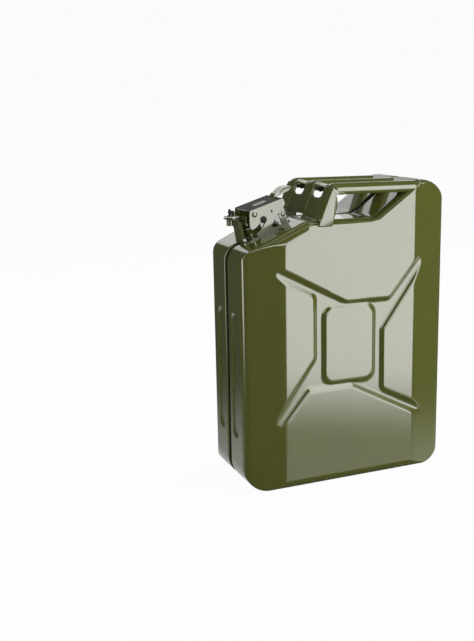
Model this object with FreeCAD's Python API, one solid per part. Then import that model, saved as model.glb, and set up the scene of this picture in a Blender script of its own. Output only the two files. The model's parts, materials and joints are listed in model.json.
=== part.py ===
import FreeCAD, Part
import math
import os

V = FreeCAD.Vector

# Twenty litre steel jerry can. X runs across the can with the filler at -X, Y through its
# depth with the front panel at -Y, Z up. The origin is the middle of the base, on the ground.

# ---- driving sizes, millimetres and degrees ----
can_width = 345.0
can_depth = 165.0
can_height = 467.0
sheet = 1.0

base_corner = 38.0
top_corner = 48.0
shoulder_corner = 27.0
hump_edge_radius = 12.0
scoop_radius = 25.0
least_radius = 0.8
brow_radius = 30.0
deck_drop = 55.0
shoulder_slope = 24.5
shoulder_inset = 73.6
shoulder_drop = 13.0
scoop_slope = 35.0
hump_length = 55.374
edge_roll = 16.0
roll_steps = 6
facet_width = 61.5
facet_slope = 16.5
fold_radius = 15.0

groove_width = 9.0
groove_depth = 10.0
weld_width = 3.0
weld_height = 1.5

pattern_x = -4.0
pattern_base_gap = 79.6
pattern_deck_gap = 49.6
pattern_side_gap = 37.5
pattern_depth = 4.0
pattern_slope = 7.0
channel_corner = 10.0
channel_above_plate = 6.9
channel_beside_plate = 16.0
arm_end_step = 21.4
arm_end_lean = 2.0
plate_half_width = 42.2
plate_half_height = 59.0
plate_corner = 15.0

bead_bottom = 84.0
bead_top = 272.0
bead_width = 18.0
bead_depth = 2.5
bead_inset = 29.0

neck_inset = 54.5
neck_bore = 21.0
neck_wall = 1.2
neck_height = 17.5
neck_below = 13.0
lip_radius = 25.0
lip_height = 3.0
neck_weld_size = 1.6

yoke_sheet = 2.0
ear_sheet = 2.5
ear_outer = 28.7
yoke_front = -31.0
yoke_back = 45.0
lug_u = 5.3
lug_n = 22.0
lug_radius = 3.5
ear_round = 6.0
hinge_u = 37.5
hinge_n = 14.5
hinge_pin_radius = 3.0
hinge_fit = 0.05
hinge_ear_round = 6.0
pin_head = 5.0
pin_head_height = 1.4

seal_gap = 0.3
gasket_height = 3.0
gasket_radius = 24.5
cup_sheet = 1.2
cup_radius = 25.5
cup_gap = 1.5
cup_depth = 7.0
cap_spring_height = 1.9
cap_spring_radius = 14.0
carrier_sheet = 2.0
carrier_half_width = 25.6
carrier_front = -20.5
carrier_back = 43.5
carrier_arm = 4.4
rivet_radius = 3.0
rivet_head = 5.5
rivet_head_height = 1.0

lever_sheet = 2.0
lever_gap = 0.3
pivot_u = -4.3
pivot_n = 35.2
pivot_radius = 2.5
pivot_fit = 0.05
boss_radius = 4.3
lever_front = -9.0
lever_back = 46.7
lever_top_front = 43.1
lever_top_back = 36.6
lever_window_start = 8.0
lever_window_end = 33.0
lever_window_half = 10.0
tongue_half_width = 9.0
slot_clearance = 0.4
lever_ratio = 2.5
slot_swing = 24.0
slot_steps = 24

tab_sheet = 1.6
tab_rise = 4.4
tab_front_inset = 2.5
tab_length = 24.5
tab_half_width = 8.0
guard_setback = 12.0
guard_height = 8.1
guard_half_width = 6.0
tab_gap = 2.0
riser_half_width = 23.0
lip_length = 14.5
strap_half_width = 14.0
strap_flange = 3.5
pin_setback = 6.0
pin_radius = 2.2
pin_hole_radius = 4.0
ferrule_radius = 5.0
ferrule_height = 9.0
pin_reach = 5.5
pin_collar = 3.6
pin_ring_radius = 3.6
pin_ring_wire = 1.3

bar_below_hump = 1.5
bar_height = 16.5
bar_sheet = 1.5
bar_outer_edge = 7.0
bar_inner_edge = 5.0
bar_lower_edge = 3.5
side_bar_width = 30.0
middle_bar_width = 31.0
bar_end_inset = 58.5
bracket_below_bar = 7.0
bar_front_round = 6.0
bracket_sheet = 2.0
leg_from_shoulder = 44.4
leg_sink = 6.0
leg_lean = 21.5
leg_rise = 51.0
leg_foot_depth = 21.0
leg_top_depth = 8.0
window_below_bar = 6.0
window_height = 13.0
window_margin = 1.0
window_corner = 4.5
arch_half_width = 13.0
arch_height = 4.0
bracket_weld_size = 1.6

vent_radius = 4.0
vent_wall = 0.8
vent_y = -13.0
vent_drop = 19.0
vent_top = 11.0

# ---- sizes worked out from the driving ones ----
half_width = can_width / 2
half_depth = can_depth / 2
half_groove = groove_width / 2
flat_half_width = half_width - facet_width
deck_height = can_height - deck_drop
shoulder_x = -half_width + shoulder_inset
shoulder_z = deck_height - shoulder_drop
hump_x = half_width - hump_length
pattern_reach_x = half_width - pattern_side_gap
pattern_reach_z = (deck_height - pattern_deck_gap - pattern_base_gap) / 2
pattern_z = pattern_base_gap + pattern_reach_z
neck_x = -half_width + neck_inset
tilt = math.radians(shoulder_slope)
neck_z = shoulder_z + (neck_x - shoulder_x) * math.tan(tilt)
neck_outer = neck_bore + neck_wall
gasket_bottom = neck_height + seal_gap
flange_bottom = gasket_bottom + gasket_height
flange_top = flange_bottom + cup_sheet
carrier_bottom = flange_top + cap_spring_height
carrier_top = carrier_bottom + carrier_sheet
cheek_inner = ear_outer + lever_gap
cheek_outer = cheek_inner + lever_sheet
ear_inner = ear_outer - ear_sheet
tab_top = deck_height + tab_rise
tab_front = -half_width + tab_front_inset
tab_back = tab_front + tab_length
tab_bottom = tab_top - tab_sheet
guard_x = tab_front + guard_setback
guard_top = tab_top + guard_height
pin_x = tab_front + pin_setback
lip_back = tab_front + lip_length
lip_top = tab_bottom - tab_gap
lip_bottom = lip_top - tab_sheet
bar_top = can_height - bar_below_hump
bar_bottom = bar_top - bar_height
bar_end = half_width - bar_end_inset
bracket_top_z = bar_top - bracket_below_bar
leg_foot_x = shoulder_x + leg_from_shoulder
leg_foot_z = deck_height - leg_sink
leg_top_x = leg_foot_x + leg_lean
leg_top_z = leg_foot_z + leg_rise
window_bottom = bar_bottom - window_below_bar
window_top = window_bottom + window_height


# ---- helpers ----
def line_meet(first, second):
    (px, pz, dx, dz) = first
    (qx, qz, ex, ez) = second
    cross = dx * ez - dz * ex
    along = ((qx - px) * ez - (qz - pz) * ex) / cross
    return (px + along * dx, pz + along * dz)


def moved_line(line, inset):
    # the solid lies to the left of each line, so a positive inset moves into it
    (px, pz, dx, dz) = line
    return (px - dz * inset, pz + dx * inset, dx, dz)


def rounded_wire(points, radii, place):
    # a closed wire through the points with an arc at each corner; place turns (a, b) into a vector
    corners = [place(a, b) for (a, b) in points]
    count = len(corners)
    starts = []
    ends = []
    arcs = []
    for i in range(count):
        to_before = (corners[i - 1] - corners[i]).normalize()
        to_after = (corners[(i + 1) % count] - corners[i]).normalize()
        half_angle = to_before.getAngle(to_after) / 2
        reach = radii[i] / math.tan(half_angle)
        starts.append(corners[i] + to_before * reach)
        ends.append(corners[i] + to_after * reach)
        inward = (to_before + to_after).normalize()
        middle = corners[i] + inward * (radii[i] / math.sin(half_angle) - radii[i])
        arcs.append(Part.Arc(starts[i], middle, ends[i]).toShape() if radii[i] > 0 else None)
    edges = []
    for i in range(count):
        if arcs[i]:
            edges.append(arcs[i])
        edges.append(Part.LineSegment(ends[i], starts[(i + 1) % count]).toShape())
    return Part.Wire(edges)


def in_plane_y(y):
    return lambda a, b: V(a, y, b)


def prism(wire, direction):
    return Part.Face(wire).extrude(direction)


def mirrored(shape):
    return shape.mirror(V(0, 0, 0), V(0, 1, 0))


def both_sides(shape):
    return Part.makeCompound([shape, mirrored(shape)])


def on_shoulder(shape):
    # moves a shape from the shoulder's own frame, u up the slope and n out of it, to the can's
    placed = shape.copy()
    turn = FreeCAD.Rotation(V(0, 1, 0), -shoulder_slope)
    placed.Placement = FreeCAD.Placement(V(neck_x, 0, neck_z), turn).multiply(placed.Placement)
    return placed


def cross_pin(u, n, radius, near, far):
    # a cylinder along Y between two distances from the middle, on the -Y side when they are negative
    return Part.makeCylinder(radius, far - near, V(u, near, n), V(0, 1, 0))


def plate_xz(points, near, far, radii=None):
    corner_radii = radii or [0.0] * len(points)
    return prism(rounded_wire(points, corner_radii, in_plane_y(near)), V(0, far - near, 0))


def box(x0, x1, y0, y1, z0, z1):
    return Part.makeBox(x1 - x0, y1 - y0, z1 - z0, V(x0, y0, z0))


# ---- tank body ----
def profile_lines(inset):
    slope = math.radians(shoulder_slope)
    scoop = math.radians(scoop_slope)
    lines = [
        (0.0, 0.0, 1.0, 0.0),
        (half_width, 0.0, 0.0, 1.0),
        (0.0, can_height, -1.0, 0.0),
        (hump_x, can_height, -math.cos(scoop), -math.sin(scoop)),
        (0.0, deck_height, -1.0, 0.0),
        (shoulder_x, shoulder_z, -math.cos(slope), -math.sin(slope)),
        (-half_width, 0.0, 0.0, -1.0),
    ]
    return [moved_line(line, inset) for line in lines]


def profile_wire(inset, y):
    lines = profile_lines(inset)
    corners = [line_meet(lines[i - 1], lines[i]) for i in range(len(lines))]
    convex = [base_corner, base_corner, top_corner, hump_edge_radius, brow_radius, shoulder_corner]
    radii = [max(radius - inset, least_radius) for radius in convex]
    radii.insert(4, scoop_radius + inset)
    return rounded_wire(corners, radii, in_plane_y(y))


def profile_slab(inset, near, far):
    return prism(profile_wire(inset, near), V(0, far - near, 0))


def rolled_pan(inset, mouth):
    # the front half as a full solid: a straight wall from its mouth, then the rolled front edge
    roll = edge_roll - inset
    wall_end = -half_depth + edge_roll
    wires = []
    for step in range(roll_steps + 1):
        angle = math.radians(90 * step / roll_steps)
        wires.append(profile_wire(inset + roll * (1 - math.cos(angle)), wall_end - roll * math.sin(angle)))
    pan = profile_slab(inset, wall_end, mouth).fuse(Part.makeLoft(wires, True, True))
    return pan.common(faceted_prism(inset, mouth))


def faceted_prism(inset, mouth):
    # plan outline of one half: flat front, slanted facets, tight folds and the narrow sides
    slope = math.radians(facet_slope)
    front = -half_depth + inset
    radius = fold_radius - inset
    crease = flat_half_width - inset * math.tan(slope / 2)
    edge = half_width - inset
    centre_x = edge - radius
    run = centre_x + radius * math.sin(slope) - crease
    centre_y = front + run * math.tan(slope) + radius * math.cos(slope)
    halfway = math.radians((90 + facet_slope) / 2)

    def on_fold(side, from_front):
        return V(side * (centre_x + radius * math.sin(from_front)), centre_y - radius * math.cos(from_front), -1)

    edges = []
    for side in (1, -1):
        start = V(side * crease, front, -1)
        fold_start = on_fold(side, slope)
        fold_end = on_fold(side, math.pi / 2)
        edges.append(Part.LineSegment(start, fold_start).toShape())
        edges.append(Part.Arc(fold_start, on_fold(side, halfway), fold_end).toShape())
        edges.append(Part.LineSegment(fold_end, V(side * edge, mouth, -1)).toShape())
    edges.append(Part.LineSegment(V(edge, mouth, -1), V(-edge, mouth, -1)).toShape())
    edges.append(Part.LineSegment(V(-crease, front, -1), V(crease, front, -1)).toShape())
    outline = Part.Wire(Part.__sortEdges__(edges))
    return prism(outline, V(0, 0, can_height + 2))


def channel_points():
    # mid-slope line of the pressed cross, which looks the same when turned half round
    tip_x = pattern_reach_x
    tip_z = pattern_reach_z
    waist_x = plate_half_width + channel_beside_plate
    waist_z = plate_half_height + channel_above_plate
    step = arm_end_step
    lean = arm_end_lean
    half = [
        (-tip_x, tip_z - 3.8 * lean),
        (-4.9, waist_z),
        (waist_x + 11.3, waist_z),
        (tip_x - lean, tip_z),
        (tip_x - lean, tip_z - step),
        (waist_x, 17.2),
        (waist_x + 0.3, -waist_z - 13.1),
        (tip_x, lean - tip_z + step),
    ]
    whole = half + [(-x, -z) for (x, z) in half]
    return [(x + pattern_x, z + pattern_z) for (x, z) in reversed(whole)]


def grown_polygon(points, grow):
    lines = []
    for i in range(len(points)):
        (ax, az) = points[i - 1]
        (bx, bz) = points[i]
        length = math.hypot(bx - ax, bz - az)
        lines.append(moved_line((ax, az, (bx - ax) / length, (bz - az) / length), -grow))
    return [line_meet(lines[i], lines[(i + 1) % len(lines)]) for i in range(len(lines))]


def sloped_block(points, radii, grow_front, grow_floor, front, floor):
    wires = []
    for (grow, y) in ((grow_front, front), (grow_floor, floor)):
        wires.append(rounded_wire(grown_polygon(points, grow), radii, in_plane_y(y)))
    return Part.makeLoft(wires, True, True)


def pressed_cross(inset):
    # cutter for the recessed channel round the raised middle plate
    over = 1.0
    spread = pattern_slope / 2
    rise = pattern_slope / pattern_depth * over
    front = -half_depth + inset - over
    floor = -half_depth + inset + pattern_depth
    points = channel_points()
    tips = (0, 3, 4, 7, 8, 11, 12, 15)
    radii = [0.0 if i in tips else channel_corner for i in range(len(points))]
    extra = inset * 0.5
    channel = sloped_block(points, radii, spread + rise + extra, extra - spread, front, floor)
    w = plate_half_width
    h = plate_half_height
    plate = [(pattern_x + a * w, pattern_z + b * h) for (a, b) in ((-1, -1), (1, -1), (1, 1), (-1, 1))]
    island_radii = [plate_corner] * 4
    island = sloped_block(plate, island_radii, -spread - rise - extra, spread - extra, front, floor + over)
    return channel.cut(island)


def side_bead(inset, side):
    # cutter for the long shallow flute on one narrow side
    reach = bead_depth + inset
    half = bead_width / 2 + inset
    y_mid = -bead_inset
    bottom = bead_bottom - inset
    top = bead_top + inset
    over = 2.0
    outline = [(y_mid - half, bottom), (y_mid + half, bottom), (y_mid + half, top), (y_mid - half, top)]
    start = side * (half_width + over)
    wire = rounded_wire(outline, [half * 0.999] * 4, lambda a, b: V(start, a, b))
    return prism(wire, V(-side * (reach + over), 0, 0))


def pressed_pan(inset, mouth):
    pan = rolled_pan(inset, mouth).cut(pressed_cross(inset))
    for side in (1, -1):
        pan = pan.cut(side_bead(inset, side))
    return pan


def neck_hole():
    return on_shoulder(Part.makeCylinder(neck_outer, 60, V(0, 0, -40)))


def body_half():
    web_back = -half_groove
    web_front = web_back - sheet
    floor_in = groove_depth + sheet
    shell = pressed_pan(0.0, web_back).cut(pressed_pan(sheet, web_front))
    shell = shell.cut(profile_slab(floor_in, web_front - 1, web_back + 1))
    floor = profile_slab(groove_depth, web_back - sheet / 2, 0.0).cut(profile_slab(floor_in, web_back - sheet, 1.0))
    return shell.fuse(floor).cut(neck_hole()).removeSplitter()


def seam_weld():
    half = weld_width / 2
    bead = profile_slab(groove_depth - weld_height, -half, half).cut(profile_slab(groove_depth, -half - 1, half + 1))
    return bead.cut(neck_hole())


# ---- filler neck and its yoke ----
def ring(inner, outer, bottom, top, u=0.0, y=0.0):
    centre = V(u, y, bottom)
    return Part.makeCylinder(outer, top - bottom, centre).cut(Part.makeCylinder(inner, top - bottom, centre))


def filler_neck():
    tube = ring(neck_bore, neck_outer, -neck_below, neck_height)
    lip = ring(neck_bore, lip_radius, neck_height - lip_height, neck_height)
    lip = lip.makeFillet(lip_height * 0.45, [lip.Edges[i] for i in outer_circles(lip, lip_radius)])
    return on_shoulder(tube.fuse(lip).removeSplitter())


def outer_circles(shape, radius):
    found = []
    for i, edge in enumerate(shape.Edges):
        if isinstance(edge.Curve, Part.Circle) and abs(edge.Curve.Radius - radius) < 1e-6:
            found.append(i)
    return found


def neck_weld():
    bottom = yoke_sheet
    cone = Part.makeCone(neck_outer + neck_weld_size, neck_outer, neck_weld_size, V(0, 0, bottom))
    return on_shoulder(cone.cut(Part.makeCylinder(neck_outer, neck_weld_size, V(0, 0, bottom))))


def yoke_ear(points, radii, bore_u, bore_n, bore):
    ear = plate_xz(points, -ear_outer, -ear_inner, radii)
    return ear.cut(cross_pin(bore_u, bore_n, bore, -ear_outer - 1, -ear_inner + 1))


def neck_yoke():
    round_off = 6.0
    outline = [(yoke_front, -ear_outer), (yoke_back, -ear_outer), (yoke_back, ear_outer), (yoke_front, ear_outer)]
    plate = prism(rounded_wire(outline, [round_off] * 4, lambda a, b: V(a, b, 0)), V(0, 0, yoke_sheet))
    plate = plate.cut(Part.makeCylinder(neck_outer, yoke_sheet, V(0, 0, 0)))
    r = ear_round
    top = lug_n + r
    lug_ear_points = [(lug_u - r - 3, 0), (lug_u + r + 3, 0), (lug_u + r, top), (lug_u - r, top)]
    lug_ear = yoke_ear(lug_ear_points, [0, 0, r * 0.95, r * 0.95], lug_u, lug_n, lug_radius)
    h = hinge_ear_round
    top = hinge_n + h
    hinge_ear_points = [(hinge_u - h - 2, 0), (yoke_back - round_off, 0), (hinge_u + h, top), (hinge_u - h, top)]
    hinge_ear = yoke_ear(hinge_ear_points, [0, 0, h * 0.9, h * 0.9], hinge_u, hinge_n, hinge_pin_radius)
    yoke = plate.fuse(both_sides(lug_ear)).fuse(both_sides(hinge_ear))
    return on_shoulder(yoke.removeSplitter())


def neck_lug():
    proud = 0.6
    return on_shoulder(cross_pin(lug_u, lug_n, lug_radius, -cheek_outer - proud, -ear_inner))


def hinge_pin():
    shank = cross_pin(hinge_u, hinge_n, hinge_pin_radius, -ear_outer, ear_outer)
    head = cross_pin(hinge_u, hinge_n, pin_head, -ear_outer - pin_head_height, -ear_outer)
    return on_shoulder(shank.fuse(both_sides(head)).removeSplitter())


def vent_tube():
    reach = neck_bore - vent_radius
    vent_u = math.sqrt(reach ** 2 - vent_y ** 2)
    return on_shoulder(ring(vent_radius - vent_wall, vent_radius, -vent_drop, vent_top, vent_u, vent_y))


# ---- cap ----
def cap_cup():
    skirt = neck_bore - cup_gap
    plate = ring(rivet_radius, cup_radius, flange_bottom, flange_top)
    wall = ring(skirt - cup_sheet, skirt, flange_top - cup_depth, flange_top)
    return on_shoulder(plate.fuse(wall).removeSplitter())


def cap_gasket():
    return on_shoulder(ring(neck_bore - cup_gap, gasket_radius, gasket_bottom, flange_bottom))


def cap_spring():
    wide = Part.makeCone(cap_spring_radius, cap_spring_radius * 0.6, cap_spring_height, V(0, 0, flange_top))
    return on_shoulder(wide.cut(Part.makeCylinder(rivet_radius, cap_spring_height, V(0, 0, flange_top))))


def cap_rivet():
    bottom = flange_bottom - rivet_head_height
    shank = Part.makeCylinder(rivet_radius, carrier_top + rivet_head_height - bottom, V(0, 0, bottom))
    low_head = Part.makeCylinder(rivet_head, rivet_head_height, V(0, 0, bottom))
    high_head = Part.makeCylinder(rivet_head, rivet_head_height, V(0, 0, carrier_top))
    return on_shoulder(shank.fuse(low_head).fuse(high_head).removeSplitter())


def cap_carrier():
    near = -carrier_half_width
    far = near + carrier_sheet
    across = [(carrier_front, near), (carrier_back, near), (carrier_back, -near), (carrier_front, -near)]
    plate = prism(rounded_wire(across, [0.0] * 4, lambda a, b: V(a, b, carrier_bottom)), V(0, 0, carrier_sheet))
    plate = plate.cut(Part.makeCylinder(rivet_radius, carrier_sheet, V(0, 0, carrier_bottom)))
    r = carrier_arm
    top = pivot_n + r
    arm_points = [(pivot_u - r, carrier_bottom), (pivot_u + r, carrier_bottom), (pivot_u + r, top), (pivot_u - r, top)]
    arm = plate_xz(arm_points, near, far, [0, 0, r * 0.95, r * 0.95])
    arm = arm.cut(cross_pin(pivot_u, pivot_n, pivot_radius, near - 1, far + 1))
    h = hinge_ear_round
    low = hinge_n - h
    knuckle_points = [
        (hinge_u - 3.5 * h, carrier_top),
        (hinge_u - 3.5 * h, carrier_bottom),
        (hinge_u - h, hinge_n + 2),
        (hinge_u - h, low),
        (carrier_back, low),
        (carrier_back, carrier_top),
    ]
    knuckle = plate_xz(knuckle_points, near, far, [0, 0, 2, h * 0.95, h * 0.95, 0])
    knuckle = knuckle.cut(cross_pin(hinge_u, hinge_n, hinge_pin_radius + hinge_fit, near - 1, far + 1))
    bridge = on_shoulder(plate.fuse(both_sides(arm)).fuse(both_sides(knuckle)))
    riser = box(tab_back - tab_sheet, tab_back, -riser_half_width, riser_half_width, riser_foot(), tab_top)
    tab = box(tab_front, tab_back, -tab_half_width, tab_half_width, tab_bottom, tab_top)
    hole = Part.makeCylinder(pin_radius + hinge_fit, tab_sheet, V(pin_x, 0, tab_bottom))
    return bridge.fuse(riser).fuse(tab.cut(hole)).removeSplitter()


def riser_foot():
    # where the riser's middle meets the carrier plate's middle
    middle = (carrier_bottom + carrier_top) / 2
    x = tab_back - tab_sheet / 2
    u = (x - neck_x + math.sin(tilt) * middle) / math.cos(tilt)
    return neck_z + u * math.sin(tilt) + middle * math.cos(tilt)


def pin_guard():
    return box(guard_x - tab_sheet, guard_x, -guard_half_width, guard_half_width, tab_top, guard_top)


def locking_pin():
    tip = lip_bottom - pin_reach
    seat = tab_top + seal_gap
    shank = Part.makeCylinder(pin_radius, seat - tip, V(pin_x, 0, tip))
    collar = Part.makeCylinder(pin_collar, pin_ring_wire, V(pin_x, 0, seat))
    ring_z = seat + pin_ring_wire + pin_ring_radius + pin_ring_wire * 0.6
    eye = Part.makeTorus(pin_ring_radius, pin_ring_wire, V(pin_x, 0, ring_z), V(1, 0, 0))
    return shank.fuse(collar).fuse(eye).removeSplitter()


# ---- strap that the cap locks to ----
def bent_outline(points, thickness, bend):
    # outline and corner radii of a bent sheet whose right-hand face follows the points
    lines = []
    for (a, b) in zip(points, points[1:]):
        length = math.hypot(b[0] - a[0], b[1] - a[1])
        lines.append((a[0], a[1], (b[0] - a[0]) / length, (b[1] - a[1]) / length))
    moved = [moved_line(line, thickness) for line in lines]
    last = moved[-1]
    run = math.hypot(points[-1][0] - points[-2][0], points[-1][1] - points[-2][1])
    back = [(moved[0][0], moved[0][1])]
    right_radii = [0.0]
    left_radii = [0.0]
    for i in range(1, len(lines)):
        back.append(line_meet(moved[i - 1], moved[i]))
        turn = lines[i - 1][2] * lines[i][3] - lines[i - 1][3] * lines[i][2]
        right_radii.append(bend + thickness if turn > 0 else bend)
        left_radii.append(bend if turn > 0 else bend + thickness)
    back.append((last[0] + last[2] * run, last[1] + last[3] * run))
    right_radii.append(0.0)
    left_radii.append(0.0)
    return (list(points) + back[::-1], right_radii + left_radii[::-1])


def front_strap():
    bend = 2.0
    half = strap_half_width
    head = (lip_back, lip_top)
    waist = (lip_back + 4.3, lip_top - 17)
    foot = (lip_back + 8.3, lip_top - 41)
    (outline, radii) = bent_outline([foot, waist, head, (tab_front + 1.0, lip_top)], tab_sheet, bend)
    strap = plate_xz(outline, -half, half, radii)
    strap = strap.cut(Part.makeCylinder(pin_hole_radius, tab_sheet * 2, V(pin_x, 0, lip_bottom - tab_sheet / 2)))
    f = strap_flange
    low = lip_top - 30
    edge = [(head[0] + 1.0, lip_top - 4), waist, (waist[0] + 2.2, low), (waist[0] + 2.2 + f, low)]
    edge = edge + [(waist[0] + f, waist[1]), (head[0] + 1.0 + f, lip_top - 4)]
    flange = plate_xz(edge, -half, -half + tab_sheet)
    strap = strap.fuse(both_sides(flange))
    return strap.cut(rolled_pan(0.0, 1.0)).cut(mirrored(rolled_pan(0.0, 1.0))).removeSplitter()


def strap_ferrule():
    return ring(pin_hole_radius, ferrule_radius, lip_bottom - ferrule_height, lip_bottom, pin_x)


# ---- lever ----
def turned(point, centre, degrees):
    angle = math.radians(degrees)
    du = point[0] - centre[0]
    dn = point[1] - centre[1]
    cosine = math.cos(angle)
    sine = math.sin(angle)
    return (centre[0] + du * cosine - dn * sine, centre[1] + du * sine + dn * cosine)


def lug_seen_by_lever(swing):
    # the lug's place on the lever once the carrier has opened by this many degrees
    on_carrier = turned((lug_u, lug_n), (hinge_u, hinge_n), swing)
    return turned(on_carrier, (pivot_u, pivot_n), -swing * lever_ratio)


def lever_slot():
    radius = lug_radius + slot_clearance
    cutter = None
    before = None
    for step in range(slot_steps + 1):
        here = lug_seen_by_lever(slot_swing * step / slot_steps)
        piece = cross_pin(here[0], here[1], radius, -cheek_outer - 1, -cheek_inner + 1)
        if before:
            piece = piece.fuse(slot_link(before, here, radius))
        cutter = cutter.fuse(piece) if cutter else piece
        before = here
    return cutter


def slot_link(first, second, radius):
    du = second[0] - first[0]
    dn = second[1] - first[1]
    length = math.hypot(du, dn)
    au = -dn / length * radius
    an = du / length * radius
    points = [(first[0] + au, first[1] + an), (first[0] - au, first[1] - an)]
    points = points + [(second[0] - au, second[1] - an), (second[0] + au, second[1] + an)]
    return plate_xz(points, -cheek_outer - 1, -cheek_inner + 1)


def lever_cheek():
    points = [
        (lever_front, lever_top_front),
        (-15.0, 31.0),
        (-19.0, 20.0),
        (-11.0, 1.0),
        (1.0, 3.6),
        (14.0, 8.0),
        (22.3, 15.0),
        (34.0, 21.0),
        (lever_back, 27.0),
        (lever_back, lever_top_back),
    ]
    radii = [3.0, 6.0, 3.0, 3.0, 5.0, 5.0, 5.0, 5.0, 4.0, 2.0]
    cheek = plate_xz(points, -cheek_outer, -cheek_inner, radii)
    notch = plate_xz([(20.5, 25.5), (24.5, 26.5), (22.0, 30.0)], -cheek_outer - 1, -cheek_inner + 1)
    bore = cross_pin(pivot_u, pivot_n, pivot_radius + pivot_fit, -cheek_outer - 1, -cheek_inner + 1)
    return cheek.cut(lever_slot()).cut(notch).cut(bore)


def lever():
    t = lever_sheet
    fall = (lever_top_back - lever_top_front) / (lever_back - lever_front)
    top_points = [
        (lever_front, lever_top_front - t),
        (lever_back, lever_top_back - t),
        (lever_back, lever_top_back),
        (lever_front, lever_top_front),
    ]
    top = plate_xz(top_points, -cheek_outer, cheek_outer)
    w = lever_window_half
    top = top.cut(box(lever_window_start, lever_window_end, -w, w, lever_top_back - 2 * t, lever_top_front + t))
    arm_notch = box(
        lever_front - 1,
        pivot_u + 0.4,
        -carrier_half_width - 0.7,
        -carrier_half_width + carrier_sheet + 0.7,
        pivot_n,
        lever_top_front + 1,
    )
    top = top.cut(both_sides(arm_notch))
    root_n = lever_top_front + fall * (40.0 - lever_front)
    tongue_points = [(40.0, root_n - t), (46.7, 40.1), (55.3, 42.2), (62.0, 43.6), (70.0, 42.0), (73.5, 37.0)]
    (outline, radii) = bent_outline(tongue_points, t, 2.0)
    tongue = plate_xz(outline, -tongue_half_width, tongue_half_width, radii)
    return on_shoulder(top.fuse(both_sides(lever_cheek())).fuse(tongue).removeSplitter())


def lever_rivet():
    inside = -carrier_half_width + carrier_sheet
    outside = -cheek_outer - lever_gap
    shank = cross_pin(pivot_u, pivot_n, pivot_radius, outside, inside)
    boss = cross_pin(pivot_u, pivot_n, boss_radius, -ear_outer, -carrier_half_width)
    low_head = cross_pin(pivot_u, pivot_n, boss_radius, inside, inside + rivet_head_height)
    high_head = cross_pin(pivot_u, pivot_n, rivet_head - 1, outside - rivet_head_height, outside)
    return on_shoulder(shank.fuse(boss).fuse(low_head).fuse(high_head).removeSplitter())


# ---- carrying handles ----
def leg_x(z):
    # front face of the sloped bracket plate at a height
    return leg_foot_x + (z - leg_foot_z) * (leg_top_x - leg_foot_x) / (leg_top_z - leg_foot_z)


def leg_thickness():
    lean = math.atan((leg_top_x - leg_foot_x) / (leg_top_z - leg_foot_z))
    return bracket_sheet / math.cos(lean)


def bar_side_profile(inset):
    back = leg_thickness()
    points = [
        (leg_x(bar_bottom) + back, bar_bottom),
        (bar_end, bar_bottom),
        (bar_end, bar_top),
        (leg_x(bar_top), bar_top),
        (leg_x(bracket_top_z), bracket_top_z),
        (leg_x(bracket_top_z) + back, bracket_top_z),
    ]
    radii = [0, 0, 0, bar_front_round - inset, 0, 0]
    inner = grown_polygon(points, -inset)
    return prism(rounded_wire(inner, radii, in_plane_y(-half_depth - 1)), V(0, can_depth + 2, 0))


def hollow_bar(section, radii):
    outer = bar_prism(section, radii, 0.0)
    inner = bar_prism(section, radii, bar_sheet)
    return outer.cut(inner).cut(tank_block()).removeSplitter()


def bar_prism(section, radii, inset):
    shrunk = grown_polygon(section, -inset)
    inner_radii = [max(r - inset, 0.0) for r in radii]
    wire = rounded_wire(shrunk, inner_radii, lambda a, b: V(leg_foot_x, a, b))
    return prism(wire, V(bar_end - leg_foot_x + 1, 0, 0)).common(bar_side_profile(inset))


def tank_block():
    half = rolled_pan(0.0, 0.0)
    return half.fuse(mirrored(half))


def handle_side():
    outer = -half_depth
    inner = outer + side_bar_width
    section = [(outer, bar_bottom), (inner, bar_bottom), (inner, bar_top), (outer, bar_top)]
    return hollow_bar(section, [bar_lower_edge, bar_lower_edge, bar_inner_edge, bar_outer_edge])


def handle_middle():
    half = middle_bar_width / 2
    section = [(-half, bar_bottom), (half, bar_bottom), (half, bar_top), (-half, bar_top)]
    return hollow_bar(section, [bar_lower_edge, bar_lower_edge, bar_inner_edge, bar_inner_edge])


def handle_bracket():
    low = leg_foot_z
    high = bracket_top_z
    t = leg_thickness()
    plate_points = [(leg_x(low), low), (leg_x(low) + t, low), (leg_x(high) + t, high), (leg_x(high), high)]
    plate = plate_xz(plate_points, -half_depth, half_depth)
    flange_points = [
        (leg_x(low), low),
        (leg_x(low) + leg_foot_depth, low),
        (leg_x(bar_bottom) + leg_top_depth, bar_bottom),
        (leg_x(bar_bottom), bar_bottom),
    ]
    flange = plate_xz(flange_points, -half_depth, -half_depth + bracket_sheet)
    bracket = plate.fuse(both_sides(flange))
    near = -half_depth + side_bar_width + window_margin
    far = -middle_bar_width / 2 - window_margin
    start = leg_foot_x - 1
    outline = [(near, window_bottom), (far, window_bottom), (far, window_top), (near, window_top)]
    window = prism(rounded_wire(outline, [window_corner] * 4, lambda a, b: V(start, a, b)), V(leg_top_x - start + t, 0, 0))
    arch_top = deck_height + arch_height
    arch = box(start, leg_top_x + t, -arch_half_width, arch_half_width, low, arch_top)
    return bracket.cut(both_sides(window)).cut(arch).cut(tank_block()).removeSplitter()


def bracket_weld():
    size = bracket_weld_size
    x = leg_x(deck_height)
    slope = leg_x(deck_height + size) - x
    points = [(x - size, deck_height), (x, deck_height), (x + slope, deck_height + size)]
    return plate_xz(points, -half_depth + edge_roll, -arch_half_width)


# ---- export ----
def save(name, shape):
    solids = shape.Solids
    if len(solids) == 1:
        shape = solids[0]
    shape.exportStep("parts/" + name + ".step")
    print(name, len(solids), round(shape.Volume, 1))


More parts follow.
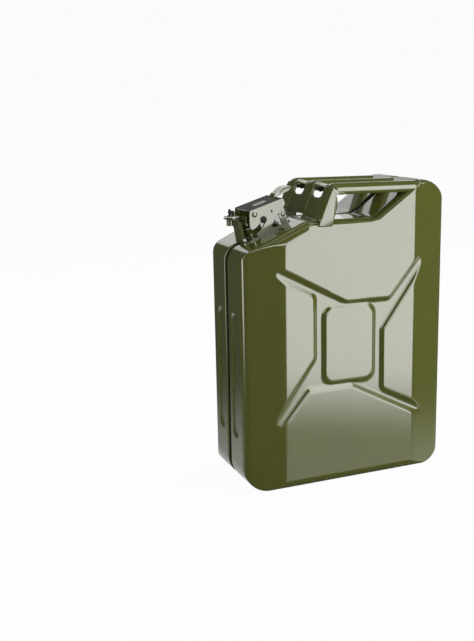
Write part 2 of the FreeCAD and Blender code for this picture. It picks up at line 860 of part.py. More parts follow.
os.makedirs("parts", exist_ok=True)
half = body_half()
side_bar = handle_side()
save("body_half_front", half)
save("body_half_back", mirrored(half))
save("seam_weld", seam_weld())
save("filler_neck", filler_neck())
save("neck_weld", neck_weld())
save("neck_yoke", neck_yoke())
save("neck_lug_front", neck_lug())
save("neck_lug_back", mirrored(neck_lug()))
save("hinge_pin", hinge_pin())
save("vent_tube", vent_tube())
save("cap_cup", cap_cup())
save("cap_gasket", cap_gasket())
save("cap_spring", cap_spring())
save("cap_rivet", cap_rivet())
save("cap_carrier", cap_carrier())
save("pin_guard", pin_guard())
save("locking_pin", locking_pin())
save("front_strap", front_strap())
save("strap_ferrule", strap_ferrule())
save("lever", lever())
save("lever_rivet_front", lever_rivet())
save("lever_rivet_back", mirrored(lever_rivet()))
save("handle_front", side_bar)
save("handle_middle", handle_middle())
save("handle_back", mirrored(side_bar))
save("handle_bracket", handle_bracket())
save("bracket_weld_front", bracket_weld())
save("bracket_weld_back", mirrored(bracket_weld()))
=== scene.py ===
import json
import math
import bmesh
import bpy
import numpy as np
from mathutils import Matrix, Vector


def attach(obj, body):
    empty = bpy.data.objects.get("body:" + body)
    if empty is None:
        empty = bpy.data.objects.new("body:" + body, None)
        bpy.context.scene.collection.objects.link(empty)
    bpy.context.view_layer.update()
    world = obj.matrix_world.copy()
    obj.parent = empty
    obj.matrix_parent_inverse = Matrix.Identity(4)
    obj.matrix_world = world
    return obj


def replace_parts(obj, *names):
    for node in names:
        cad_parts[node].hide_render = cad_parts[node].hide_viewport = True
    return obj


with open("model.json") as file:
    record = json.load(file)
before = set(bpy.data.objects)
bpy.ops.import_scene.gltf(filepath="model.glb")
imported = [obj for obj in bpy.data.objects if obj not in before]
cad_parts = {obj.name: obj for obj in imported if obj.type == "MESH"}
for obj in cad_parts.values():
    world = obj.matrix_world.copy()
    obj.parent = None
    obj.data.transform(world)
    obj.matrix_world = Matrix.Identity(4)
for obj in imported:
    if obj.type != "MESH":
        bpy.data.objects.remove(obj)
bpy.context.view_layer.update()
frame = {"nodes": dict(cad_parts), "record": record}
nodes = frame["nodes"]
mm = 0.001  # shape tables are in millimetres unless their note says metres; Blender's objects are in metres

cameraView = {
    "azimuth": -26.13,  # degrees round the can, 0 looks along +Y
    "elevation": 12.57,
    "distance": 1.5276,
    "target": (0.0, 0.0, 0.235),
    "lens": 53.33,
    "shiftX": -0.1425,
    "shiftY": 0.0060,
}


def makeCamera(view):
    azimuth = math.radians(view["azimuth"])
    elevation = math.radians(view["elevation"])
    back = Vector((
        math.sin(azimuth) * math.cos(elevation),
        -math.cos(azimuth) * math.cos(elevation),
        math.sin(elevation),
    ))
    data = bpy.data.cameras.new("studioCamera")
    data.lens = view["lens"]
    data.sensor_width = 36.0
    data.shift_x = view["shiftX"]
    data.shift_y = view["shiftY"]
    camera = bpy.data.objects.new("studioCamera", data)
    camera.location = Vector(view["target"]) + back * view["distance"]
    camera.rotation_mode = "QUATERNION"
    camera.rotation_quaternion = (-back).to_track_quat("-Z", "Y")
    bpy.context.scene.collection.objects.link(camera)
    bpy.context.scene.camera = camera


makeCamera(cameraView)
print("camera placed")


def link(obj):
    bpy.context.scene.collection.objects.link(obj)
    return obj


def meshFrom(bm, name):
    mesh = bpy.data.meshes.new(name)
    bm.to_mesh(mesh)
    bm.free()
    return link(bpy.data.objects.new(name, mesh))


def meshPiece(name, verts, faces, smoothAngle=None):
    mesh = bpy.data.meshes.new(name)
    mesh.from_pydata([tuple(v) for v in verts], [], [tuple(f) for f in faces])
    mesh.update()
    if smoothAngle is not None:
        mesh.shade_smooth()
        mesh.set_sharp_from_angle(angle=math.radians(smoothAngle))
    return link(bpy.data.objects.new(name, mesh))


def smoothStep(t):
    t = np.clip(t, 0.0, 1.0)
    return t * t * (3 - 2 * t)


def smoothMax(a, b, reach):
    # the larger of the two, rounded over where they cross
    reach = np.maximum(reach, 1e-6)
    near = np.maximum(reach - np.abs(a - b), 0.0) / reach
    return np.maximum(a, b) + near * near * reach / 4


def softRamp(t, endRound=0.35):
    # straight slope from 0 to 1 with small rounds at its two ends
    level = np.zeros_like(t)
    return 1.0 - smoothMax(1.0 - smoothMax(t, level, endRound), level, endRound)


def bandFaces(first, last, count, flip=False):
    # quads between each row of a closed loop and the next
    faces = []
    for row in range(first, last):
        for j in range(count):
            k = (j + 1) % count
            a, b = row * count + j, row * count + k
            c, d = b + count, a + count
            faces.append((b, a, d, c) if flip else (a, b, c, d))
    return faces


def newGroup(name, inputs, outputs):
    group = bpy.data.node_groups.new(name, "ShaderNodeTree")
    for label, kind, value in inputs:
        socket = group.interface.new_socket(name=label, in_out="INPUT", socket_type=kind)
        socket.default_value = value
    for label, kind in outputs:
        group.interface.new_socket(name=label, in_out="OUTPUT", socket_type=kind)
    start = group.nodes.new("NodeGroupInput")
    end = group.nodes.new("NodeGroupOutput")
    return group, start, end


def setInputs(tree, node, values):
    for label, value in values.items():
        if isinstance(value, bpy.types.NodeSocket):
            tree.links.new(value, node.inputs[label])
        else:
            node.inputs[label].default_value = value


def addNode(tree, kind, values=None, **settings):
    node = tree.nodes.new(kind)
    for label, value in settings.items():
        setattr(node, label, value)
    setInputs(tree, node, values or {})
    return node


def mathNode(tree, operation, *values, **settings):
    values = dict(enumerate(values))
    return addNode(tree, "ShaderNodeMath", values, operation=operation, **settings).outputs[0]


wearLook = {
    "width": 0.0012, "amount": 0.5, "scale": 90.0, "samples": 4,
    "bend": (0.985, 0.90),  # cosine between the surface and its rounded copy: no wear, full wear
    "noise": (0.48, 0.62), "detail": 5.0, "roughness": 0.65,
}
driftLook = {
    "colour": (0.1, 0.1, 0.03, 1.0), "patchScale": 7.0, "patchDetail": 3.0,
    "grainScale": 900.0, "grainDetail": 2.0, "strength": 0.1,
}


def edgeWearGroup():
    # a mask that is 1 on worn outer edges, broken up by noise
    group, start, end = newGroup(
        "edgeWear",
        [
            ("Width", "NodeSocketFloat", wearLook["width"]),
            ("Amount", "NodeSocketFloat", wearLook["amount"]),
            ("Scale", "NodeSocketFloat", wearLook["scale"]),
        ],
        [("Mask", "NodeSocketFloat")],
    )
    bevel = addNode(group, "ShaderNodeBevel", {"Radius": start.outputs["Width"]}, samples=wearLook["samples"])
    normals = {0: bevel.outputs["Normal"], 1: addNode(group, "ShaderNodeNewGeometry").outputs["Normal"]}
    turned = addNode(group, "ShaderNodeVectorMath", normals, operation="DOT_PRODUCT")
    rise = addNode(group, "ShaderNodeMapRange", {
        "Value": turned.outputs["Value"], "From Min": wearLook["bend"][0], "From Max": wearLook["bend"][1],
    })
    noise = addNode(group, "ShaderNodeTexNoise", {
        "Vector": addNode(group, "ShaderNodeTexCoord").outputs["Object"],
        "Scale": start.outputs["Scale"], "Detail": wearLook["detail"], "Roughness": wearLook["roughness"],
    })
    limit = addNode(group, "ShaderNodeMapRange", {
        "Value": noise.outputs["Fac"], "From Min": wearLook["noise"][0], "From Max": wearLook["noise"][1],
    })
    both = mathNode(group, "MULTIPLY", rise.outputs["Result"], limit.outputs["Result"])
    share = mathNode(group, "MULTIPLY", both, start.outputs["Amount"], use_clamp=True)
    group.links.new(share, end.inputs["Mask"])
    return group


def driftGroup():
    # slow change of tone and fine speckle over a surface
    group, start, end = newGroup(
        "toneDrift",
        [
            ("Colour", "NodeSocketColor", driftLook["colour"]),
            ("Patch Scale", "NodeSocketFloat", driftLook["patchScale"]),
            ("Grain Scale", "NodeSocketFloat", driftLook["grainScale"]),
            ("Strength", "NodeSocketFloat", driftLook["strength"]),
        ],
        [("Colour", "NodeSocketColor"), ("Patch", "NodeSocketFloat"), ("Grain", "NodeSocketFloat")],
    )
    place = addNode(group, "ShaderNodeTexCoord").outputs["Object"]
    patch = addNode(group, "ShaderNodeTexNoise", {
        "Vector": place, "Scale": start.outputs["Patch Scale"], "Detail": driftLook["patchDetail"],
    }).outputs["Fac"]
    grain = addNode(group, "ShaderNodeTexNoise", {
        "Vector": place, "Scale": start.outputs["Grain Scale"], "Detail": driftLook["grainDetail"],
    }).outputs["Fac"]
    shift = mathNode(group, "SUBTRACT", patch, 0.5)
    lift = mathNode(group, "ADD", mathNode(group, "MULTIPLY", shift, start.outputs["Strength"]), 1.0)
    toned = {0: start.outputs["Colour"], "Scale": lift}
    tint = addNode(group, "ShaderNodeVectorMath", toned, operation="SCALE")
    setInputs(group, end, {"Colour": tint.outputs["Vector"], "Patch": patch, "Grain": grain})
    return group


edgeWear = edgeWearGroup()
toneDrift = driftGroup()

# wear widths and bump distances in metres
wornRougher = 0.25  # roughness that full wear adds
plainFinish = dict(
    spread=0.25, coat=0.0, coatRoughness=0.1, specular=0.5, metallic=0.0,
    wear=0.3, wearWidth=0.0005, wearScale=300.0,
    patch=60.0, grain=1500.0, strength=0.3, bump=0.1, bumpDistance=0.0002,
)
paintFinish = {
    "olive": dict(
        plainFinish, colour=(0.102, 0.112, 0.019), worn=(0.20, 0.21, 0.12), roughness=0.12, spread=0.15,
        coat=1.0, coatRoughness=0.02, specular=0.75, wearWidth=0.0008, wearScale=90.0,
        patch=9.0, grain=260.0, strength=0.22, bump=0.006, bumpDistance=0.0004,
    ),
    # matte olive for the front strap, also darker than the body's paint: the darker colour is painted shade
    "oliveMattPaintedShade": dict(
        plainFinish, colour=(0.085, 0.095, 0.020), worn=(0.16, 0.17, 0.10), roughness=0.42, spread=0.15,
        specular=0.28, wearWidth=0.0006, wearScale=140.0,
        patch=20.0, grain=500.0, strength=0.25, bump=0.05, bumpDistance=0.0003,
    ),
    # near-black finish for the seam groove's floor and walls and the weld in it: painted shade for the deep
    # groove
    "paintedGrooveShade": dict(
        plainFinish, colour=(0.012, 0.013, 0.008), worn=(0.05, 0.05, 0.03), roughness=0.55, spread=0.2,
        specular=0.3, wear=0.2, wearWidth=0.0006, wearScale=160.0,
        patch=30.0, grain=700.0, strength=0.4, bump=0.3, bumpDistance=0.0006,
    ),
    "blackSteel": dict(
        plainFinish, colour=(0.012, 0.012, 0.013), worn=(0.16, 0.16, 0.15), roughness=0.32,
        coat=0.2, coatRoughness=0.2, metallic=0.25, wear=0.6, bump=0.12,
    ),
    # near-black finish for the lever's top, the lug heads and the sheets behind the handle openings: painted
    # shade
    "paintedShadeBlack": dict(
        plainFinish, colour=(0.009, 0.010, 0.006), worn=(0.05, 0.05, 0.03), roughness=0.5, spread=0.2,
        coatRoughness=0.2, specular=0.25, wearWidth=0.0004,
    ),
    "platedSteel": dict(
        plainFinish, colour=(0.11, 0.115, 0.07), worn=(0.30, 0.30, 0.25), roughness=0.30,
        metallic=0.7, wear=0.5, patch=80.0, grain=1800.0, strength=0.35,
    ),
    "paleSteel": dict(
        plainFinish, colour=(0.36, 0.36, 0.32), worn=(0.45, 0.45, 0.42), roughness=0.34,
        metallic=0.35, wear=0.4, patch=80.0, grain=1800.0,
    ),
    "sealRubber": dict(
        plainFinish, colour=(0.018, 0.018, 0.018), worn=(0.06, 0.06, 0.06), roughness=0.6, spread=0.2,
        coatRoughness=0.3, specular=0.4, wear=0.2, wearWidth=0.0004, grain=2500.0, bump=0.25,
    ),
}


def finishMaterial(name, f):
    material = bpy.data.materials.new(name)
    material.use_nodes = True
    tree = material.node_tree
    tone = addNode(tree, "ShaderNodeGroup", {
        "Colour": (*f["colour"], 1.0), "Patch Scale": f["patch"], "Grain Scale": f["grain"],
        "Strength": f["strength"],
    }, node_tree=toneDrift)
    wear = addNode(tree, "ShaderNodeGroup", {
        "Width": f["wearWidth"], "Amount": f["wear"], "Scale": f["wearScale"],
    }, node_tree=edgeWear)
    colour = addNode(tree, "ShaderNodeMix", {
        "Factor": wear.outputs["Mask"], "A": tone.outputs["Colour"], "B": (*f["worn"], 1.0),
    }, data_type="RGBA")
    rough = addNode(tree, "ShaderNodeMapRange", {
        "Value": tone.outputs["Patch"],
        "To Min": f["roughness"] * (1 - f["spread"]), "To Max": f["roughness"] * (1 + f["spread"]),
    })
    bump = addNode(tree, "ShaderNodeBump", {
        "Strength": f["bump"], "Distance": f["bumpDistance"], "Height": tone.outputs["Grain"],
    })
    rougher = (wear.outputs["Mask"], wornRougher, rough.outputs["Result"])
    setInputs(tree, tree.nodes["Principled BSDF"], {
        "Metallic": f["metallic"], "Specular IOR Level": f["specular"],
        "Coat Weight": f["coat"], "Coat Roughness": f["coatRoughness"],
        "Base Color": colour.outputs["Result"],
        "Roughness": mathNode(tree, "MULTIPLY_ADD", *rougher, use_clamp=True),
        "Normal": bump.outputs["Normal"],
    })
    return material


materials = {name: finishMaterial(name, f) for name, f in paintFinish.items()}
print("finishes made")

# tank halves, in millimetres and degrees
tank = {
    "halfWidth": 172.5, "halfDepth": 82.5, "height": 467.0,
    "deck": 412.0, "shoulder": (-98.9, 399.0, 24.5), "scoop": (60.0, 427.0, 35.0),
    # corner radii: base left, base right, top, hump, scoop, brow, shoulder
    "corners": (38.0, 38.0, 48.0, 12.0, 25.0, 30.0, 27.0),
    "leastRadius": 0.8, "roll": 16.0, "slopeRoll": 0.5, "slopeFadeIn": (2, 10.0), "slopeFadeOut": (3, 30.0),
    "flatHalfWidth": 111.0, "facetSlope": 16.5, "foldRadius": 15.0, "creaseBlend": 1.6, "foldBlend": 4.0,
    "grooveDepth": 10.0, "grooveHalf": 4.5, "footRound": 1.2, "footCut": 0.35,
    # the last number in the next line is how far past the groove's walls the painted shade in the groove
    # reaches
    "rimStart": 2.0, "rimRadius": 4.0, "wall": 1.0, "grooveShadeOver": 0.5,
    "arcSteps": (18, 18, 22, 8, 10, 8, 14),
    "lineSteps": (78, 104, 16, 22, 34, 20, 92),
    "rimSteps": 6, "wallSteps": 30, "rollSteps": 12, "panelSteps": 96,
    "innerRoll": (0, 45, 90), "innerPanel": (0.3, 0.6, 1.0), "crease": 50,
}
press = {
    "centre": (-4.0, 221.0), "depth": 4.0, "slope": 6.0,
    "plate": (42.2, 59.0, 15.0),
    # half of the cross's outline from its centre; the other half is the same, turned over
    "cross": ((-135, 133.8), (-4.9, 65.9), (69.5, 65.9), (133, 141.4),
              (133, 120), (58.2, 17.2), (58.5, -79), (135, -118)),
    "tips": (0, 3, 4, 7), "tipRadius": 3.0, "corner": 10.0, "blend": 1.2, "core": 14.0,
    "cornerSteps": 6, "plateSteps": 10, "sideSteps": 2,
}
bead = {"bottom": 84.0, "top": 272.0, "width": 18.0, "depth": 2.5, "inset": 29.0, "slope": 5.0}
neckHole = {"centre": (-118.0, 0.0, 390.3), "tilt": 24.5, "radius": 22.2, "depth": 30.0}


def lineMeet(first, second):
    px, pz, dx, dz = first
    qx, qz, ex, ez = second
    along = ((qx - px) * ez - (qz - pz) * ex) / (dx * ez - dz * ex)
    return np.array((px + along * dx, pz + along * dz))


def outlineLines(inset):
    shoulder = math.radians(tank["shoulder"][2])
    scoop = math.radians(tank["scoop"][2])
    half = tank["halfWidth"]
    lines = [
        (0.0, 0.0, 1.0, 0.0),
        (half, 0.0, 0.0, 1.0),
        (0.0, tank["height"], -1.0, 0.0),
        (tank["scoop"][0], tank["scoop"][1], -math.cos(scoop), -math.sin(scoop)),
        (0.0, tank["deck"], -1.0, 0.0),
        (tank["shoulder"][0], tank["shoulder"][1], -math.cos(shoulder), -math.sin(shoulder)),
        (-half, 0.0, 0.0, -1.0),
    ]
    return [(x - dz * inset, z + dx * inset, dx, dz) for x, z, dx, dz in lines]


def roundedLoop(corners, radii, arcSteps, lineSteps):
    # closed loop of points with an arc at each corner, the same count whatever the size
    count = len(corners)
    arcs = []
    for i in range(count):
        a = corners[i] - corners[i - 1]
        b = corners[(i + 1) % count] - corners[i]
        a = a / np.linalg.norm(a)
        b = b / np.linalg.norm(b)
        turn = math.atan2(a[0] * b[1] - a[1] * b[0], a @ b)
        reach = radii[i] * math.tan(abs(turn) / 2)
        start = corners[i] - a * reach
        side = 1.0 if turn > 0 else -1.0
        centre = start + np.array((-a[1], a[0])) * radii[i] * side
        arm = start - centre
        angles = np.linspace(0, turn, arcSteps[i] + 1)[:, None]
        arc = centre + np.hstack((np.cos(angles) * arm[0] - np.sin(angles) * arm[1],
                                  np.sin(angles) * arm[0] + np.cos(angles) * arm[1]))
        arcs.append(arc)
    points = []
    for i in range(count):
        points.append(arcs[i][:-1])
        steps = np.linspace(0, 1, lineSteps[i] + 1)[:-1, None]
        points.append(arcs[i][-1] + (arcs[(i + 1) % count][0] - arcs[i][-1]) * steps)
    return np.vstack(points)


def outlineLoop(inset):
    lines = outlineLines(inset)
    corners = [lineMeet(lines[i - 1], lines[i]) for i in range(len(lines))]
    radii = [max(r - inset, tank["leastRadius"]) for r in tank["corners"]]
    radii[4] = tank["corners"][4] + inset  # the scoop's foot is hollow
    return roundedLoop(corners, radii, tank["arcSteps"], tank["lineSteps"])


def planDepth(x, inset=0.0):
    # front surface's y over the width: flat, slanted facet, tight fold
    slope = math.radians(tank["facetSlope"])
    radius = tank["foldRadius"] - inset
    front = -tank["halfDepth"] + inset
    crease = tank["flatHalfWidth"] - inset * math.tan(slope / 2)
    centreX = tank["halfWidth"] - inset - radius
    run = centreX + radius * math.sin(slope) - crease
    centreY = front + run * math.tan(slope) + radius * math.cos(slope)
    across = np.abs(x)
    facet = front + (across - crease) * math.tan(slope)
    level = smoothMax(np.full_like(facet, front), facet, tank["creaseBlend"])
    over = np.clip((across - centreX) / radius, 0.0, 1.0)
    fold = centreY - radius * np.sqrt(1 - over * over)
    return np.where(across > centreX + radius * math.sin(slope), fold, level)


def signedDistance(points, loop):
    # distance from each point to the closed loop, positive inside
    best = np.full(len(points), 1e9)
    inside = np.zeros(len(points), bool)
    px, pz = points[:, 0], points[:, 1]
    for i in range(len(loop)):
        ax, az = loop[i - 1]
        bx, bz = loop[i]
        dx, dz = bx - ax, bz - az
        t = np.clip(((px - ax) * dx + (pz - az) * dz) / (dx * dx + dz * dz + 1e-12), 0, 1)
        gap = (px - ax - t * dx) ** 2 + (pz - az - t * dz) ** 2
        best = np.minimum(best, gap)
        if az != bz:
            crossing = ((az > pz) != (bz > pz)) & (px < dx * (pz - az) / dz + ax)
            inside ^= crossing
    best = np.sqrt(best)
    return np.where(inside, best, -best)


def pressedDepth(points):
    # how far the panel is pushed in at each (x, z)
    centre = np.array(press["centre"])
    cross = [np.array(p, float) for p in press["cross"]]
    whole = [centre + p for p in cross] + [centre - p for p in cross]
    radii = [press["tipRadius"] if i in press["tips"] else press["corner"] for i in range(len(cross))] * 2
    sideSteps = [press["sideSteps"]] * len(whole)
    channel = roundedLoop(whole[::-1], radii[::-1], [press["cornerSteps"]] * len(whole), sideSteps)
    w, h, r = press["plate"]
    plate = [centre + np.array((a * w, b * h)) for a, b in ((-1, -1), (1, -1), (1, 1), (-1, 1))]
    island = roundedLoop(plate, [r] * 4, [press["plateSteps"]] * 4, sideSteps[:4])
    half = press["slope"] / 2
    sunk = softRamp((signedDistance(points, channel) + half) / press["slope"])
    raised = softRamp((signedDistance(points, island) + half) / press["slope"])
    return press["depth"] * sunk * (1 - raised)


def beadDepth(y, z):
    # long shallow flute with round ends on each narrow side
    half = bead["width"] / 2
    low = bead["bottom"] + half
    high = bead["top"] - half
    along = z - np.clip(z, low, high)
    out = np.hypot(y + bead["inset"], along)
    return bead["depth"] * smoothStep((half - out) / bead["slope"] + 0.5)


def rolledLoop(inset):
    # outline drawn in by the roll, less along the slope behind the hand opening
    full, tight = outlineLoop(inset), outlineLoop(inset * tank["slopeRoll"])
    index = np.arange(len(full), dtype=float)
    start = sum(tank["arcSteps"][:3]) + sum(tank["lineSteps"][:3])
    end = start + tank["arcSteps"][3] + tank["lineSteps"][3]
    (lead, rise), (lag, fall) = tank["slopeFadeIn"], tank["slopeFadeOut"]
    away = smoothStep((start + lead - index) / rise) + smoothStep((index - end - lag) / fall)
    share = np.clip(away, 0.0, 1.0)[:, None]
    return full * share + tight * (1 - share)


def outerRows():
    rows = []
    half = tank["grooveHalf"]
    rim = tank["rimRadius"]
    deep = tank["grooveDepth"]
    foot, cut = tank["footRound"], tank["footCut"]
    profile = [(deep, 0.0), (deep, half - foot), (deep - cut, half - cut), (deep - foot, half)]
    profile.append((rim + tank["rimStart"], half))
    for step in range(tank["rimSteps"] + 1):
        angle = math.radians(90 * step / tank["rimSteps"])
        profile.append((rim * (1 - math.sin(angle)), half + rim * (1 - math.cos(angle))))
    for inset, away in profile:
        loop = outlineLoop(inset)
        rows.append((loop, np.full(len(loop), -away)))
    base = outlineLoop(0.0)
    wallEnd = -tank["halfDepth"] + tank["roll"]
    first = np.full(len(base), -(half + rim))
    last = smoothMax(np.full(len(base), wallEnd), planDepth(base[:, 0]), tank["foldBlend"])
    onSide = np.abs(base[:, 0]) > tank["halfWidth"] - 0.01
    for step in range(1, tank["wallSteps"]):
        y = first + (last - first) * step / tank["wallSteps"]
        loop = base.copy()
        push = np.where(onSide, beadDepth(y, base[:, 1]), 0.0)
        loop[:, 0] -= np.sign(base[:, 0]) * push
        rows.append((loop, y))
    for step in range(tank["rollSteps"] + 1):
        angle = math.radians(90 * step / tank["rollSteps"])
        loop = rolledLoop(tank["roll"] * (1 - math.cos(angle)))
        level = np.full(len(loop), wallEnd - tank["roll"] * math.sin(angle))
        rows.append((loop, smoothMax(level, planDepth(loop[:, 0]), tank["foldBlend"] * math.cos(angle))))
    return rows


def coreLoop(edge):
    # where each ray from the middle of the pressed plate leaves a small rounded rectangle
    centre = np.array(press["centre"])
    w, h = press["plate"][0] - press["core"], press["plate"][1] - press["core"]
    away = edge - centre
    scale = 1.0 / (np.abs(away[:, 0] / w) ** 4 + np.abs(away[:, 1] / h) ** 4) ** 0.25
    return centre + away * scale[:, None]


def tankHalf(name, side):
    rows = outerRows()
    edge = rows[-1][0]
    core = coreLoop(edge)
    deepen = 1 + press["blend"] / press["depth"]
    for step in range(1, tank["panelSteps"] + 1):
        loop = edge + (core - edge) * (step / tank["panelSteps"])
        floorY = pressedDepth(loop) * deepen - press["blend"] - tank["halfDepth"]
        rows.append((loop, smoothMax(planDepth(loop[:, 0]), floorY, press["blend"])))
    innerStart = len(rows)
    rows += innerRows()
    innerEnd = len(rows) - 1
    count = len(edge)
    verts = np.vstack([np.column_stack((loop[:, 0], -side * y, loop[:, 1])) for loop, y in rows])
    faces = bandFaces(0, innerStart - 1, count)
    faces.append(tuple((innerStart - 1) * count + j for j in range(count)))
    faces += bandFaces(innerStart, innerEnd, count, flip=True)
    faces.append(tuple(innerEnd * count + j for j in reversed(range(count))))
    for j in range(count):
        k = (j + 1) % count
        faces.append((j, innerStart * count + j, innerStart * count + k, k))
    if side > 0:
        faces = [f[::-1] for f in faces]
    verts, faces = cutNeckHole(verts, faces)
    obj = meshPiece(name, verts * mm, faces, tank["crease"])
    # groove faces get the second, near-black finish: painted shade in the groove
    dark = deepInGroove(verts, faces)
    obj.data.polygons.foreach_set("material_index", dark.astype(np.int32))
    return obj


def deepInGroove(verts, faces):
    # faces on the groove's floor and walls, which take the near-black finish as painted shade
    middles = np.array([verts[list(f[:4])].mean(0) for f in faces])
    return np.abs(middles[:, 1]) < tank["grooveHalf"] + tank["grooveShadeOver"]


def innerRows():
    # plain inside skin a wall's thickness under the outside
    wall = tank["wall"]
    half = tank["grooveHalf"] + wall
    deep = tank["grooveDepth"] + wall
    rows = []
    rim = tank["rimRadius"]
    for inset, away in ((deep, 0.0), (deep, half), (rim, half), (wall, half + rim)):
        loop = outlineLoop(inset)
        rows.append((loop, np.full(len(loop), -away)))
    roll = tank["roll"]
    wallEnd = -tank["halfDepth"] + roll
    for degrees in tank["innerRoll"]:
        angle = math.radians(degrees)
        loop = outlineLoop(wall + bead["depth"] + (roll - wall) * (1 - math.cos(angle)))
        y = wallEnd - (roll - wall) * math.sin(angle)
        pressed = press["depth"] if degrees == 90 else 0.0
        rows.append((loop, np.maximum(y, planDepth(loop[:, 0], wall)) + pressed))
    edge = rows[-1][0]
    core = coreLoop(edge)
    for t in tank["innerPanel"]:
        loop = edge + (core - edge) * t
        rows.append((loop, planDepth(loop[:, 0], wall) + press["depth"]))
    return rows


def cutNeckHole(verts, faces):
    # opens the shoulder for the filler neck with a clean round edge
    tilt = math.radians(neckHole["tilt"])
    axis = np.array((-math.sin(tilt), 0.0, math.cos(tilt)))
    offset = verts - np.array(neckHole["centre"])
    along = offset @ axis
    radial = offset - along[:, None] * axis
    reach = np.linalg.norm(radial, axis=1)
    inside = (reach < neckHole["radius"]) & (along > -neckHole["depth"])
    kept = [f for f in faces if not all(inside[i] for i in f)]
    used = sorted({i for f in kept for i in f})
    moved = verts.copy()
    out = radial / np.maximum(reach, 1e-6)[:, None] * neckHole["radius"]
    moved[inside] = (verts - radial + out)[inside]
    order = {old: new for new, old in enumerate(used)}
    return moved[used], [tuple(order[i] for i in f) for f in kept]


frontHalf = tankHalf("tankFrontHalf", -1)
backHalf = tankHalf("tankBackHalf", 1)
for piece, node in ((frontHalf, "body_half_front"), (backHalf, "body_half_back")):
    piece.data.materials.append(materials["olive"])
    # second finish: near-black painted shade for the groove
    piece.data.materials.append(materials["paintedGrooveShade"])
    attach(piece, "can")
    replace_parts(piece, node)
print("tank halves made", len(frontHalf.data.polygons))

# carrying handles
bars = {
    "top": 465.5, "bottom": 449.0, "foot": 411.0, "legFoot": (-54.5, 406.0), "legTop": (-33.0, 457.0),
    "bend": 10.0, "ribDepth": 4.0, "ribProud": 0.9, "reliefHeight": 457.0, "reliefLength": 15.0,
    "crownHeight": 10.2, "crownPower": 1.95, "lowEdge": 5.8,
    "legCrown": 1.7, "legPower": 2.8, "legLowEdge": 1.0,
    # legEnds: how far up the outward normal points where the leg's section has become the bar's
    "crownShare": 0.8, "lowShare": 0.95, "legNarrower": 0.35, "legEnds": 0.55, "leastUp": 0.2,
    "endX": 126.0, "sinkFrom": 109.0, "sinkOver": 8.0, "sinkUnder": 0.35, "archTop": 417.0,
    "legSteps": 10, "bendSteps": 18, "topSteps": 60, "crownSteps": 30, "edgeSteps": 6, "crease": 40,
}
barRows = (  # name, CAD node, middle, width, foot height
    ("sideBarFront", "handle_front", -67.5, 30.0, bars["foot"]),
    ("middleBar", "handle_middle", 0.0, 31.0, bars["archTop"]),
    ("sideBarBack", "handle_back", 67.5, 30.0, bars["foot"]),
)


def legX(z):
    (x0, z0), (x1, z1) = bars["legFoot"], bars["legTop"]
    return x0 + (z - z0) * (x1 - x0) / (z1 - z0)


def bentPath(foot, proud, high, end):
    # up the sloped leg, round the bend and along the top, with the outward normals
    (x0, z0), (x1, z1) = bars["legFoot"], bars["legTop"]
    lean = math.atan2(x1 - x0, z1 - z0)
    turn = math.pi / 2 - lean
    radius = bars["bend"]
    shift = proud / math.cos(lean)
    corner = np.array((legX(high) - shift, high))
    reach = radius * math.tan(turn / 2)
    along = np.array((math.sin(lean), math.cos(lean)))
    start = corner - along * reach
    first = np.array((legX(foot) - shift, foot))
    centre = start + np.array((math.cos(lean), -math.sin(lean))) * radius
    points, normals = [], []
    out = np.array((-math.cos(lean), math.sin(lean)))
    for t in np.linspace(0, 1, bars["legSteps"] + 1)[:-1]:
        points.append(first + (start - first) * t)
        normals.append(out)
    for t in np.linspace(0, 1, bars["bendSteps"] + 1):
        angle = math.pi - lean + (lean - math.pi / 2) * t
        normal = np.array((math.cos(angle), math.sin(angle)))
        points.append(centre + normal * radius)
        normals.append(normal)
    last = points[-1]
    for t in np.linspace(0, 1, bars["topSteps"] + 1)[1:]:
        points.append(np.array((last[0] + (end - last[0]) * t, high)))
        normals.append(np.array((0.0, 1.0)))
    return np.array(points), np.array(normals)


def barSection(half, depths, share):
    # closed loop: crowned top, upright sides, rounded lower edges; one depth for each side
    height = bars["legCrown"] + (bars["crownHeight"] - bars["legCrown"]) * share
    e = 2.0 / (bars["legPower"] + (bars["crownPower"] - bars["legPower"]) * share)
    edge = bars["legLowEdge"] + (bars["lowEdge"] - bars["legLowEdge"]) * share
    tall = {side: min(height, bars["crownShare"] * depth) for side, depth in depths.items()}
    low = {side: min(edge, (depth - tall[side]) * bars["lowShare"]) for side, depth in depths.items()}
    loop = []
    for t in np.linspace(0, math.pi, bars["crownSteps"] + 1):
        c = math.cos(t)
        rise = math.sin(t) ** e if 1e-9 < t < math.pi - 1e-9 else 0.0
        loop.append((math.copysign(abs(c) ** e, c) * half, tall[1 if c > 0 else -1] * (1 - rise)))
    for t in np.linspace(0, math.pi / 2, bars["edgeSteps"] + 1):
        loop.append((-half + low[-1] * (1 - math.cos(t)), depths[-1] - low[-1] * (1 - math.sin(t))))
    for t in np.linspace(math.pi / 2, 0, bars["edgeSteps"] + 1):
        loop.append((half - low[1] * (1 - math.cos(t)), depths[1] - low[1] * (1 - math.sin(t))))
    return loop


def barDepth(point):
    # how far the bar reaches inward from its outer line: thin leg, relief behind the bend, full height
    start = legX(bars["reliefHeight"])
    back = np.interp(point[0], (start, start + bars["reliefLength"]), (0.0, 1.0))
    ease = math.sin(back * math.pi / 2)
    return bars["ribDepth"] + (bars["top"] - bars["bottom"] - bars["ribDepth"]) * ease


def outerDepth(point, normal):
    # outer side of a side bar: reaches down to the bar's lower edge, without the relief
    return max(bars["ribDepth"], (point[1] - bars["bottom"]) / max(normal[1], bars["leastUp"]))


